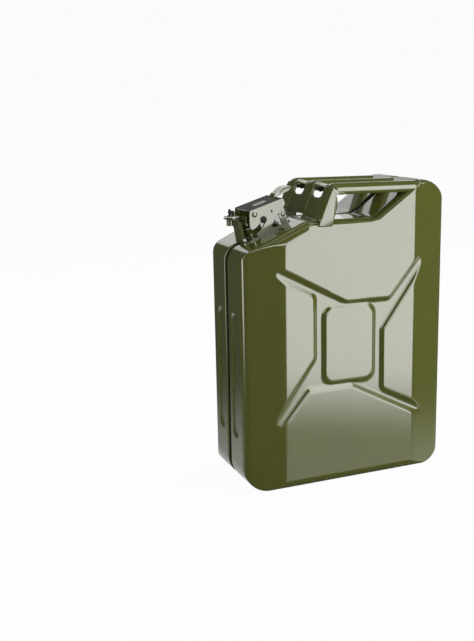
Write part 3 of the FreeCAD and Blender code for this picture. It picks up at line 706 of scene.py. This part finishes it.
def handleBar(name, node, middle, width, foot):
    path, normals = bentPath(foot, bars["ribProud"], bars["top"], bars["endX"])
    half = width / 2
    legUp = normals[0][1]
    verts = []
    for point, normal in zip(path, normals):
        share = float(smoothStep((normal[1] - legUp) / (bars["legEnds"] - legUp)))
        legHalf = half - bars["legNarrower"] * (1 - share) if middle else half
        inner = barDepth(point)
        depths = {1: inner, -1: inner}
        if middle:
            depths[1 if middle > 0 else -1] = max(outerDepth(point, normal), inner)
        for y, q in barSection(legHalf, depths, share):
            verts.append((point[0] - normal[0] * q, middle + y, point[1] - normal[1] * q))
    count = len(verts) // len(path)
    last = len(path) - 1
    faces = [tuple(range(count))[::-1]] + bandFaces(0, last, count)
    faces.append(tuple(last * count + j for j in range(count)))
    verts = np.array(verts)
    if middle:
        verts = sinkIntoHump(verts, 1.0 if middle > 0 else -1.0)
    obj = meshPiece(name, verts * mm, faces, bars["crease"])
    outwards(obj)
    paintPiece(obj, "olive", "can")
    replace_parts(obj, node)


def outwards(obj):
    bm = bmesh.new()
    bm.from_mesh(obj.data)
    bmesh.ops.recalc_face_normals(bm, faces=bm.faces)
    bm.to_mesh(obj.data)
    bm.free()


def sinkIntoHump(verts, side):
    # draws a side bar's outer edge in until it lies inside the hump's rolled edge
    roll, top = tank["roll"], tank["height"]
    rise = np.clip(verts[:, 2] - (top - roll), 0.0, roll)
    limit = -planDepth(verts[:, 0]) - roll + np.sqrt(roll * roll - rise * rise) - bars["sinkUnder"]
    share = smoothStep((verts[:, 0] - bars["sinkFrom"]) / bars["sinkOver"])
    out = side * verts[:, 1]
    over = np.maximum(out - limit, 0.0)
    verts[:, 1] = side * (out - over * share)
    return verts


def paintPiece(obj, finish, body):
    obj.data.materials.append(materials[finish])
    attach(obj, body)
    return obj


for row in barRows:
    handleBar(*row)
print("handle bars made")

# sloped plate between the bars
web = {
    "innerY": 12.5, "outerY": 55.5, "windowMiddle": 34.0, "windowHalf": 18.6,
    "windowLow": 442.5, "windowHigh": 460.5, "power": 3.2, "margin": 2.2,
    "behind": 2.0, "below": 1.6, "sag": 1.4, "sheet": 1.6,
    "columns": 18, "sideRows": 14, "rings": 3, "footRows": 8, "headRows": 22,
    "lip": ((0.3, 0.06), (0.85, 0.4), (1.15, 1.1), (1.2, 3.4)),
    "tabHalf": 12.0, "tabLow": 450.5, "tabTop": 461.5, "tabRise": 0.5, "tabBehind": 5.0, "tabSheet": 1.0,
    "tabSteps": 20,
}
gusset = {
    "outside": 82.45, "inside": 80.4, "edge": 0.7, "roundOver": 60, "crease": 35,
    # height at which the leg's line is read, reach behind that line, height of the point
    "outline": (
        (404.0, -0.7, 404.0), (411.4, 19.8, 404.0), (411.4, 20.6, 411.4), (420.0, 20.0, 420.0),
        (430.0, 18.6, 430.0), (439.0, 15.8, 439.0), (445.0, 12.6, 445.0), (449.5, 8.6, 449.5),
        (457.5, 1.4, 457.5), (455.0, -0.7, 455.0),
    ),
}


def sheetPoint(path, normals, lengths, s, y, sink):
    # the point at length s along the path, moved inward by sink
    x = np.interp(s, lengths, path[:, 0])
    z = np.interp(s, lengths, path[:, 1])
    nx = np.interp(s, lengths, normals[:, 0])
    nz = np.interp(s, lengths, normals[:, 1])
    return (x - nx * sink, y, z - nz * sink)


def plateWeb(bm, side):
    path, normals = bentPath(bars["foot"], 0.0, bars["top"] - web["below"], bars["endX"])
    lengths = np.concatenate(([0.0], np.cumsum(np.linalg.norm(np.diff(path, axis=0), axis=1))))
    bendEnd = lengths[bars["legSteps"] + bars["bendSteps"]]
    low = (web["windowLow"] - bars["foot"]) / abs(normals[0][0])
    high = (web["windowHigh"] - bars["foot"]) / abs(normals[0][0])
    ys = np.linspace(web["innerY"], web["outerY"], web["columns"] + 1)
    grid = {}

    def vertex(s, y, sink=0.0):
        key = (round(float(s), 4), round(float(y), 4), round(float(sink), 4))
        if key not in grid:
            across = (y - web["windowMiddle"]) / (web["outerY"] - web["windowMiddle"])
            sag = web["sag"] * (1 - across * across)
            place = sheetPoint(path, normals, lengths, s, side * y, sink + sag)
            grid[key] = bm.verts.new([c * mm for c in place])
        return grid[key]

    def strip(levels):
        for a, b in zip(levels, levels[1:]):
            for p, q in zip(ys, ys[1:]):
                bm.faces.new((vertex(a, p), vertex(a, q), vertex(b, q), vertex(b, p)))

    first, last = low - web["margin"], high + web["margin"]
    strip(np.linspace(0.0, first, web["footRows"]))
    strip(np.linspace(last, bendEnd + web["behind"], web["headRows"]))
    sides = np.linspace(first, last, web["sideRows"] + 1)
    rim = [(first, y) for y in ys] + [(s, ys[-1]) for s in sides[1:]]
    rim += [(last, y) for y in ys[-2::-1]] + [(s, ys[0]) for s in sides[-2:0:-1]]
    middleS, halfS = (low + high) / 2, (high - low) / 2

    def inside(s, y, share, shrink, sink):
        a, b, power = s - middleS, y - web["windowMiddle"], web["power"]
        along, across = abs(a / (halfS - shrink)), abs(b / (web["windowHalf"] - shrink))
        k = (along ** power + across ** power) ** (-1 / power)
        scale = 1 + (k - 1) * share
        return vertex(middleS + a * scale, web["windowMiddle"] + b * scale, sink)

    loops = [[vertex(s, y) for s, y in rim]]
    for ringIndex in range(1, web["rings"] + 1):
        loops.append([inside(s, y, ringIndex / web["rings"], 0.0, 0.0) for s, y in rim])
    for shrink, sink in web["lip"]:
        loops.append([inside(s, y, 1.0, shrink, sink) for s, y in rim])
    for a, b in zip(loops, loops[1:]):
        for i in range(len(rim)):
            j = (i + 1) % len(rim)
            bm.faces.new((a[i], a[j], b[j], b[i]))


def paintedShadeTab(bm, side):
    # dark rounded sheet that hangs behind the upper half of an opening: painted shade
    top, count = web["tabTop"], web["tabSteps"]
    upper, lower = [], []
    for t in np.linspace(-1, 1, count + 1):
        y = side * (web["windowMiddle"] + t * web["tabHalf"])
        low = top - (top - web["tabLow"]) * math.sqrt(max(1 - t * t, 0.0))
        for z, row in ((top + web["tabRise"], upper), (low, lower)):
            row.append(((legX(z) + web["tabBehind"]) * mm, y * mm, z * mm))
    upper = [bm.verts.new(p) for p in upper]
    lower = [bm.verts.new(p) for p in lower]
    for i in range(count):
        bm.faces.new((upper[i], lower[i], lower[i + 1], upper[i + 1]))


def gussetPlate(bm, side):
    # upright side sheet from the plate's outer edge down over the can's rolled edge
    outline = [(legX(at) + reach, z) for at, reach, z in gusset["outline"]]
    near, far = side * gusset["outside"], side * gusset["inside"]
    front = [bm.verts.new((x * mm, near * mm, z * mm)) for x, z in outline]
    back = [bm.verts.new((x * mm, far * mm, z * mm)) for x, z in outline]
    made = [bm.faces.new(front), bm.faces.new(back[::-1])]
    for i in range(len(outline)):
        j = (i + 1) % len(outline)
        made.append(bm.faces.new((front[i], back[i], back[j], front[j])))
    bmesh.ops.recalc_face_normals(bm, faces=made)
    edges = {e for f in made for e in f.edges}
    limit = math.radians(gusset["roundOver"])
    edges = [e for e in edges if len(e.link_faces) == 2 and e.calc_face_angle(0.0) > limit]
    bmesh.ops.bevel(bm, geom=edges, offset=gusset["edge"] * mm, segments=3, profile=0.5, affect="EDGES")


def thicken(obj, thickness, offset):
    solid = obj.modifiers.new("sheet", "SOLIDIFY")
    solid.thickness = thickness * mm
    solid.offset = offset


def bothSides(name, shape, evenNormals=True):
    # one mesh with the shape on each side of the can
    bm = bmesh.new()
    shape(bm, -1)
    shape(bm, 1)
    if evenNormals:
        bmesh.ops.recalc_face_normals(bm, faces=bm.faces)
    return meshFrom(bm, name)


def handlePlate():
    webs = bothSides("handleWebs", plateWeb)
    webs.data.shade_smooth()
    thicken(webs, web["sheet"], -1.0)
    paintPiece(webs, "olive", "can")
    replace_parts(webs, "handle_bracket")
    # near-black sheets behind the openings: painted shade
    tabs = bothSides("paintedShadeSheets", paintedShadeTab)
    thicken(tabs, web["tabSheet"], 0.0)
    paintPiece(tabs, "paintedShadeBlack", "can")
    gussets = bothSides("handleGussets", gussetPlate, evenNormals=False)
    gussets.data.shade_smooth()
    gussets.data.set_sharp_from_angle(angle=math.radians(gusset["crease"]))
    paintPiece(gussets, "olive", "can")


handlePlate()
print("sloped plate made")

# sheet pieces with rounded edges
sheetPieces = {  # CAD node: name, body, edge radius in metres
    "neck_yoke": ("neckYoke", "can", 0.0005),
    "front_strap": ("frontStrap", "can", 0.0005),
    "cap_carrier": ("capCarrier", "cap", 0.0005),
    "pin_guard": ("pinGuard", "cap", 0.0005),
    "lever": ("camLever", "lever", 0.0006),
}
# the weld distance and the lever's top in metres, angles in degrees
softEdge = {"weld": 1e-6, "flatWithin": 0.6, "roundOver": 40.0, "creaseOver": 32.0, "evenness": 80}
# faces of the lever's top that take the near-black finish: painted shade
leverTop = {"up": 0.9, "halfWidth": 0.0312, "behind": -0.092}


def softenedCopy(node, name, radius):
    # the same solid with its sharp edges rounded
    mesh = nodes[node].data.copy()
    mesh.name = name
    if "custom_normal" in mesh.attributes:
        mesh.attributes.remove(mesh.attributes["custom_normal"])
    bm = bmesh.new()
    bm.from_mesh(mesh)
    bmesh.ops.remove_doubles(bm, verts=bm.verts, dist=softEdge["weld"])
    flat = math.radians(softEdge["flatWithin"])
    bmesh.ops.dissolve_limit(bm, angle_limit=flat, verts=bm.verts, edges=bm.edges)
    bmesh.ops.recalc_face_normals(bm, faces=bm.faces)
    limit = math.radians(softEdge["roundOver"])
    sharp = [e for e in bm.edges if e.is_manifold and e.calc_face_angle(0.0) > limit]
    bmesh.ops.bevel(bm, geom=sharp, offset=radius, segments=2, profile=0.5, affect="EDGES",
                    clamp_overlap=True)
    bm.to_mesh(mesh)
    bm.free()
    mesh.shade_smooth()
    mesh.set_sharp_from_angle(angle=math.radians(softEdge["creaseOver"]))
    mesh.materials.clear()
    piece = link(bpy.data.objects.new(name, mesh))
    even = piece.modifiers.new("evenFaces", "WEIGHTED_NORMAL")
    even.keep_sharp = True
    even.weight = softEdge["evenness"]
    return piece


def paintLeverTopShade(piece):
    # the lever's upward-facing top faces take the near-black finish: painted shade
    piece.data.materials.append(materials["paintedShadeBlack"])
    for face in piece.data.polygons:
        level = face.normal.z > leverTop["up"] and abs(face.center.y) < leverTop["halfWidth"]
        face.material_index = int(level and face.center.x < leverTop["behind"])


for node, (name, body, radius) in sheetPieces.items():
    # the front strap gets the darker matte olive: painted shade in its colour
    finish = "oliveMattPaintedShade" if node == "front_strap" else "olive"
    piece = paintPiece(softenedCopy(node, name, radius), finish, body)
    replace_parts(piece, node)
    if node == "lever":
        paintLeverTopShade(piece)
print("sheet pieces softened")

# turned pins and rivets
shoulderFrame = {"x": -118.0, "z": 390.2955, "tilt": 24.5}
turnedCrease = 40

# outlines as (radius, distance from the middle), for the front piece of each pair
pinOutline = ((0, -29.5), (2.0, -29.45), (3.2, -29.25), (3.8, -28.95), (3.9, -28.72), (3.0, -28.7),
              (3.0, 28.7), (3.9, 28.72), (3.8, 28.95), (3.2, 29.25), (2.0, 29.45), (0, 29.5))
lugOutline = ((0, -32.25), (3.0, -32.2), (4.6, -32.0), (5.2, -31.65), (5.2, -31.5), (3.5, -31.45),
              (3.5, -26.2), (0, -26.2))
rivetOutline = ((0, -32.3), (2.0, -32.2), (3.5, -31.85), (4.4, -31.35), (2.5, -31.3), (2.5, -28.7),
                (4.3, -28.7), (4.3, -25.6), (2.5, -25.6), (2.5, -23.6), (4.3, -23.6), (3.9, -22.9),
                (2.2, -22.6), (0, -22.6))


def mirrored(outline):
    return tuple((radius, -y) for radius, y in reversed(outline))


lugPlace, rivetPlace = (5.3, 22.0), (-4.3, 35.2)
turnedPins = {  # CAD node: name, body, finish, place (u, n) on the shoulder, outline
    "hinge_pin": ("hingePin", "can", "olive", (37.5, 14.5), pinOutline),
    # the lug heads take the near-black finish: painted shade for the dark slot around the lug
    "neck_lug_front": ("neckLugFront", "can", "paintedShadeBlack", lugPlace, lugOutline),
    "neck_lug_back": ("neckLugBack", "can", "paintedShadeBlack", lugPlace, mirrored(lugOutline)),
    "lever_rivet_front": ("leverRivetFront", "cap", "olive", rivetPlace, rivetOutline),
    "lever_rivet_back": ("leverRivetBack", "cap", "olive", rivetPlace, mirrored(rivetOutline)),
}


def onShoulder(u, n):
    # (x, z) of a place u up the slope from the neck's centre and n out from the surface
    tilt = math.radians(shoulderFrame["tilt"])
    return (shoulderFrame["x"] + u * math.cos(tilt) - n * math.sin(tilt),
            shoulderFrame["z"] + u * math.sin(tilt) + n * math.cos(tilt))


def turnedPiece(name, place, outline, count=40):
    x0, z0 = place
    verts = [(x0, outline[0][1], z0)]
    for radius, y in outline[1:-1]:
        for j in range(count):
            angle = 2 * math.pi * j / count
            verts.append((x0 + radius * math.cos(angle), y, z0 + radius * math.sin(angle)))
    verts.append((x0, outline[-1][1], z0))
    last = len(verts) - 1
    faces = []
    rings = len(outline) - 2
    for j in range(count):
        k = (j + 1) % count
        faces.append((0, 1 + j, 1 + k))
        for ringIndex in range(rings - 1):
            a = 1 + ringIndex * count
            faces.append((a + j, a + count + j, a + count + k, a + k))
        a = 1 + (rings - 1) * count
        faces.append((a + j, last, a + k))
    return meshPiece(name, np.array(verts) * mm, faces, turnedCrease)


for node, (name, body, finish, place, outline) in turnedPins.items():
    piece = turnedPiece(name, onShoulder(*place), outline)
    paintPiece(piece, finish, body)
    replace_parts(piece, node)
print("pins and rivets turned")

# skirts under the lever's thumb tongue
tongueSkirt = {
    "outline": ((42.0, 37.6), (56.0, 36.6), (72.6, 36.8), (70.6, 40.2),
                (66.0, 41.6), (61.8, 41.9), (55.0, 40.6), (46.0, 38.4)),
    "outside": 8.6, "sheet": 1.4, "edge": 0.4, "crease": 35,
}
leverPanel = {
    "low": 8.2, "high": 32.8, "halfWidth": 9.6, "border": 2.0,
    "rimDrop": 1.6, "middleDrop": 0.9, "sheet": 0.8, "crease": 60,
    "topLine": ((-9.0, 43.1), (46.7, 36.6)),  # two points (u, n) on the lever's top
}


def skirtPlate(name, side):
    points = [onShoulder(*p) for p in tongueSkirt["outline"]]
    near = side * tongueSkirt["outside"]
    far = side * (tongueSkirt["outside"] - tongueSkirt["sheet"])
    count = len(points)
    verts = [(x, near, z) for x, z in points] + [(x, far, z) for x, z in points]
    faces = [tuple(range(count)), tuple(reversed(range(count, 2 * count)))]
    for i in range(count):
        j = (i + 1) % count
        faces.append((i, i + count, j + count, j))
    if side > 0:
        faces = [f[::-1] for f in faces]
    obj = meshPiece(name, np.array(verts) * mm, faces, tongueSkirt["crease"])
    bevel = obj.modifiers.new("edge", "BEVEL")
    bevel.width = tongueSkirt["edge"] * mm
    bevel.segments = 2
    return paintPiece(obj, "olive", "lever")


def leverInset(name):
    # pale pressed panel that closes the opening in the lever's top
    (u0, n0), (u1, n1) = leverPanel["topLine"]
    fall = (n1 - n0) / (u1 - u0)
    verts = []
    for inset, drop in ((0.0, leverPanel["rimDrop"]), (leverPanel["border"], leverPanel["middleDrop"])):
        low, high = leverPanel["low"] + inset, leverPanel["high"] - inset
        half = leverPanel["halfWidth"] - inset
        for u, y in ((low, -half), (high, -half), (high, half), (low, half)):
            x, z = onShoulder(u, n0 + fall * (u - u0) - drop)
            verts.append((x, y, z))
    faces = [(4, 5, 6, 7)] + [(i, (i + 1) % 4, 4 + (i + 1) % 4, 4 + i) for i in range(4)]
    piece = meshPiece(name, np.array(verts) * mm, faces, leverPanel["crease"])
    outwards(piece)
    thicken(piece, leverPanel["sheet"], -1.0)
    return paintPiece(piece, "paleSteel", "lever")


leverInset("leverPanel")
skirtPlate("tongueSkirtFront", -1)
skirtPlate("tongueSkirtBack", 1)
print("lever panel and tongue skirts made")

# weld beads: the run's spacing and radius in metres, the places in millimetres
weldRun = {"spacing": 0.0026, "radius": 0.0017, "flatness": 0.62, "jitter": 0.28, "seed": 7}
weldPlace = {
    "foot": 412.0, "plateAhead": 0.6, "plateHeight": 412.6, "nearY": 16.0, "farY": 80.6,
    "neckRadius": 22.6, "neckHeight": 2.4,
    "seamInset": 9.6, "seamGap": (-145, -92), "gapAbove": 350,
    "legTurn": (-1.2, 79.6, 413.4), "legAlong": (1.0, 20.0), "legHeight": 411.6,
}


def weldTree():
    # beads of uneven size laid along a curve
    tree = bpy.data.node_groups.new("weldRun", "GeometryNodeTree")
    tree.interface.new_socket(name="Path", in_out="INPUT", socket_type="NodeSocketGeometry")
    for label in ("Spacing", "Radius", "Flatness", "Jitter"):
        socket = tree.interface.new_socket(name=label, in_out="INPUT", socket_type="NodeSocketFloat")
        socket.default_value = weldRun[label.lower()]
    seed = tree.interface.new_socket(name="Seed", in_out="INPUT", socket_type="NodeSocketInt")
    seed.default_value = weldRun["seed"]
    tree.interface.new_socket(name="Finish", in_out="INPUT", socket_type="NodeSocketMaterial")
    tree.interface.new_socket(name="Beads", in_out="OUTPUT", socket_type="NodeSocketGeometry")
    given = tree.nodes.new("NodeGroupInput").outputs
    points = addNode(tree, "GeometryNodeCurveToPoints", {
        "Curve": given["Path"], "Length": given["Spacing"],
    }, mode="LENGTH")
    ball = addNode(tree, "GeometryNodeMeshIcoSphere", {"Radius": given["Radius"], "Subdivisions": 2})
    low = mathNode(tree, "SUBTRACT", 1.0, given["Jitter"])
    high = mathNode(tree, "ADD", 1.0, given["Jitter"])
    wide = addNode(tree, "FunctionNodeRandomValue", {
        2: low, 3: high, "Seed": given["Seed"],
    }, data_type="FLOAT").outputs[1]
    thin = mathNode(tree, "MULTIPLY", wide, given["Flatness"])
    place = addNode(tree, "GeometryNodeInstanceOnPoints", {
        "Points": points.outputs["Points"], "Instance": ball.outputs["Mesh"],
        "Rotation": points.outputs["Rotation"],
        "Scale": addNode(tree, "ShaderNodeCombineXYZ", {"X": wide, "Y": wide, "Z": thin}).outputs[0],
    })
    real = addNode(tree, "GeometryNodeRealizeInstances", {"Geometry": place.outputs["Instances"]})
    smooth = addNode(tree, "GeometryNodeSetShadeSmooth", {"Geometry": real.outputs["Geometry"]})
    finish = addNode(tree, "GeometryNodeSetMaterial", {
        "Geometry": smooth.outputs["Geometry"], "Material": given["Finish"],
    })
    addNode(tree, "NodeGroupOutput", {"Beads": finish.outputs["Geometry"]})
    return tree


weldNodes = weldTree()
weldSockets = {
    item.name: item.identifier for item in weldNodes.interface.items_tree if item.in_out == "INPUT"
}


def weldBead(name, points, seed, closed=False, finish="olive", **sizes):
    # a bead on the can's body; sizes may give a radius or spacing of its own
    run = {**weldRun, **sizes}
    curve = bpy.data.curves.new(name + "Path", "CURVE")
    curve.dimensions = "3D"
    spline = curve.splines.new("POLY")
    spline.points.add(len(points) - 1)
    for item, p in zip(spline.points, points):
        item.co = (p[0] * mm, p[1] * mm, p[2] * mm, 1.0)
    spline.use_cyclic_u = closed
    path = link(bpy.data.objects.new(name + "Path", curve))
    modifier = path.modifiers.new("beads", "NODES")
    modifier.node_group = weldNodes
    modifier[weldSockets["Radius"]] = run["radius"]
    modifier[weldSockets["Spacing"]] = run["spacing"]
    modifier[weldSockets["Seed"]] = seed
    modifier[weldSockets["Finish"]] = materials[finish]
    bpy.context.view_layer.update()
    graph = bpy.context.evaluated_depsgraph_get()
    mesh = bpy.data.meshes.new_from_object(path.evaluated_get(graph), depsgraph=graph)
    mesh.name = name
    bpy.data.objects.remove(path)
    piece = link(bpy.data.objects.new(name, mesh))
    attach(piece, "can")
    return piece


def neckCircle(radius, height, count=64):
    points = []
    for i in range(count):
        angle = 2 * math.pi * i / count
        x, z = onShoulder(radius * math.cos(angle), height)
        points.append((x, radius * math.sin(angle), z))
    return points


def seamPath():
    # the groove's line as one open run that starts and ends at the filler neck
    path = [(x, 0.0, z) for x, z in outlineLoop(weldPlace["seamInset"])]
    left, right = weldPlace["seamGap"]
    path = [p for p in path if not (left < p[0] < right and p[2] > weldPlace["gapAbove"])]
    first = max(range(len(path)), key=lambda i: math.dist(path[i], path[i - 1]))
    return path[first:] + path[:first]


def plateWeldPath(side):
    x = legX(weldPlace["foot"]) - weldPlace["plateAhead"]
    ends = sorted((side * weldPlace["nearY"], side * weldPlace["farY"]))
    return [(x, y, weldPlace["plateHeight"]) for y in ends]


def legWeldPath(side):
    x0 = legX(weldPlace["foot"])
    back, inner, height = weldPlace["legTurn"]
    first, last = weldPlace["legAlong"]
    outer, low = side * weldPlace["farY"], weldPlace["legHeight"]
    return [(x0 + back, side * inner, height), (x0 + first, outer, low), (x0 + last, outer, low)]


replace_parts(weldBead("plateWeldFront", plateWeldPath(-1), 3), "bracket_weld_front")
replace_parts(weldBead("plateWeldBack", plateWeldPath(1), 4), "bracket_weld_back")
neckPath = neckCircle(weldPlace["neckRadius"], weldPlace["neckHeight"])
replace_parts(weldBead("neckWeld", neckPath, 5, closed=True, radius=0.0014), "neck_weld")
# the seam's weld takes the near-black groove finish: painted shade in the groove
seam = weldBead("seamWeld", seamPath(), 6, finish="paintedGrooveShade", radius=0.0018, spacing=0.0032)
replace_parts(seam, "seam_weld")
for side, label in ((-1, "Front"), (1, "Back")):
    weldBead("legWeld" + label, legWeldPath(side), 8, radius=0.0015)
print("welds laid")

# finishes on the CAD pieces
slotFinish = {
    "olive_paint": "olive", "black_steel": "blackSteel",
    "seal_rubber": "sealRubber", "plated_steel": "platedSteel",
}
nodeSlot = {entry["node"]: entry["material_slot"] for entry in frame["record"]["subparts"]}
for nodeName, node in nodes.items():
    finish = slotFinish.get(nodeSlot.get(nodeName), "olive")
    node.data.materials.clear()
    node.data.materials.append(materials[finish])
print("finishes placed")

# studio
studio = {
    "floorColour": (0.93, 0.93, 0.93), "floorShow": 0.96, "skyShow": 1.2,
    "worldLevel": 0.30, "glossLevel": 0.07, "sideFade": 3.0, "floorHalf": 30.0,
}
lamps = {  # name: place, target, size, watts
    "keyLamp": ((2.2, -1.3, 1.5), (0, 0, 0.25), 1.2, 62.0),
    "fillLamp": ((-1.6, -1.6, 1.2), (0, 0, 0.25), 1.2, 7.0),
    "topLamp": ((0.2, 0.8, 2.4), (0, 0, 0.3), 1.8, 22.0),
}
# lit patches that only reflections see, angles from -Y: each fades in over its foot, out over its head
softBoxes = [
    dict(azimuth=26.0, half=16.0, foot=(-19.5, -15.0), head=(52.0, 58.0), level=5.2),
    dict(azimuth=51.0, half=13.0, foot=(16.0, 21.0), head=(50.0, 57.0), level=4.6),
    dict(azimuth=-6.0, half=18.0, foot=(4.0, 9.0), head=(18.0, 25.0), level=4.4),
    dict(azimuth=154.0, half=12.0, foot=(4.7, 5.8), head=(15.0, 20.0), level=1.1),
    dict(azimuth=136.0, half=13.5, foot=(1.0, 3.0), head=(15.0, 20.0), level=1.1),
    dict(azimuth=173.0, half=13.0, foot=(14.0, 19.0), head=(34.0, 40.0), level=1.1),
    dict(azimuth=-84.0, half=10.0, foot=(-17.0, -10.0), head=(50.0, 60.0), level=5.0),
    dict(azimuth=0.0, half=200.0, foot=(64.0, 66.0), head=(69.0, 72.0), level=1.8),
    dict(azimuth=55.0, half=50.0, foot=(-34.0, -26.0), head=(-22.0, -16.0), level=0.9),
    dict(azimuth=205.0, half=55.0, foot=(-60.0, -40.0), head=(-22.0, -15.0), level=0.6),
]


def softStep(tree, value, low, high):
    falls = low > high
    return addNode(tree, "ShaderNodeMapRange", {
        "Value": value, "From Min": min(low, high), "From Max": max(low, high),
        "To Min": float(falls), "To Max": float(not falls),
    }, interpolation_type="SMOOTHSTEP").outputs["Result"]


def studioWorld():
    world = bpy.data.worlds.new("studioWorld")
    bpy.context.scene.world = world
    world.use_nodes = True
    tree = world.node_tree
    tree.nodes.clear()
    place = addNode(tree, "ShaderNodeTexCoord").outputs["Generated"]
    x, y, z = addNode(tree, "ShaderNodeSeparateXYZ", {0: place}).outputs
    front = mathNode(tree, "MULTIPLY", y, -1.0)
    azimuth = mathNode(tree, "MULTIPLY", mathNode(tree, "ARCTAN2", x, front), 180 / math.pi)
    elevation = mathNode(tree, "MULTIPLY", mathNode(tree, "ARCSINE", z), 180 / math.pi)
    gloss = studio["glossLevel"]
    for entry in softBoxes:
        turned = mathNode(tree, "SUBTRACT", azimuth, entry["azimuth"])
        away = mathNode(tree, "ABSOLUTE", mathNode(tree, "WRAP", turned, 180.0, -180.0))
        across = softStep(tree, away, entry["half"], entry["half"] - studio["sideFade"])
        upward = mathNode(tree, "MULTIPLY", softStep(tree, elevation, *entry["foot"]),
                          softStep(tree, elevation, *entry["head"][::-1]))
        box = mathNode(tree, "MULTIPLY", across, upward)
        gloss = mathNode(tree, "MULTIPLY_ADD", box, entry["level"], gloss)
    path = addNode(tree, "ShaderNodeLightPath").outputs
    glossy = path["Is Glossy Ray"]
    seen = mathNode(tree, "MAXIMUM", path["Is Camera Ray"], path["Is Transmission Ray"])
    plain = mathNode(tree, "SUBTRACT", 1.0, mathNode(tree, "MAXIMUM", glossy, seen))
    shown = mathNode(tree, "MULTIPLY", seen, studio["skyShow"])
    level = mathNode(tree, "MULTIPLY_ADD", glossy, gloss, shown)
    level = mathNode(tree, "MULTIPLY_ADD", plain, studio["worldLevel"], level)
    background = addNode(tree, "ShaderNodeBackground", {"Strength": level})
    addNode(tree, "ShaderNodeOutputWorld", {"Surface": background.outputs[0]})


def floorPiece():
    half = studio["floorHalf"]
    corners = [(-half, -half, 0), (half, -half, 0), (half, half, 0), (-half, half, 0)]
    floor = meshPiece("floor", corners, [(0, 1, 2, 3)])
    material = bpy.data.materials.new("paleFloor")
    material.use_nodes = True
    tree = material.node_tree
    shader = tree.nodes["Principled BSDF"]
    setInputs(tree, shader, {
        "Base Color": (*studio["floorColour"], 1), "Roughness": 0.9, "Specular IOR Level": 0.1,
    })
    cameraRay = addNode(tree, "ShaderNodeLightPath").outputs["Is Camera Ray"]
    glow = addNode(tree, "ShaderNodeEmission")
    mix = addNode(tree, "ShaderNodeMixShader", {
        0: mathNode(tree, "MULTIPLY", cameraRay, studio["floorShow"]),
        1: shader.outputs[0], 2: glow.outputs[0],
    })
    setInputs(tree, tree.nodes["Material Output"], {"Surface": mix.outputs[0]})
    floor.data.materials.append(material)
    floor.visible_glossy = False


def areaLamp(name, place, target, size, power):
    data = bpy.data.lights.new(name, "AREA")
    data.shape = "RECTANGLE"
    data.size = data.size_y = size
    data.energy = power
    lamp = link(bpy.data.objects.new(name, data))
    lamp.location = place
    lamp.rotation_mode = "QUATERNION"
    lamp.rotation_quaternion = (Vector(target) - Vector(place)).to_track_quat("-Z", "Y")
    lamp.visible_glossy = False


studioWorld()
floorPiece()
for name, settings in lamps.items():
    areaLamp(name, *settings)
bpy.context.scene.view_settings.view_transform = "Standard"
print("studio lit")
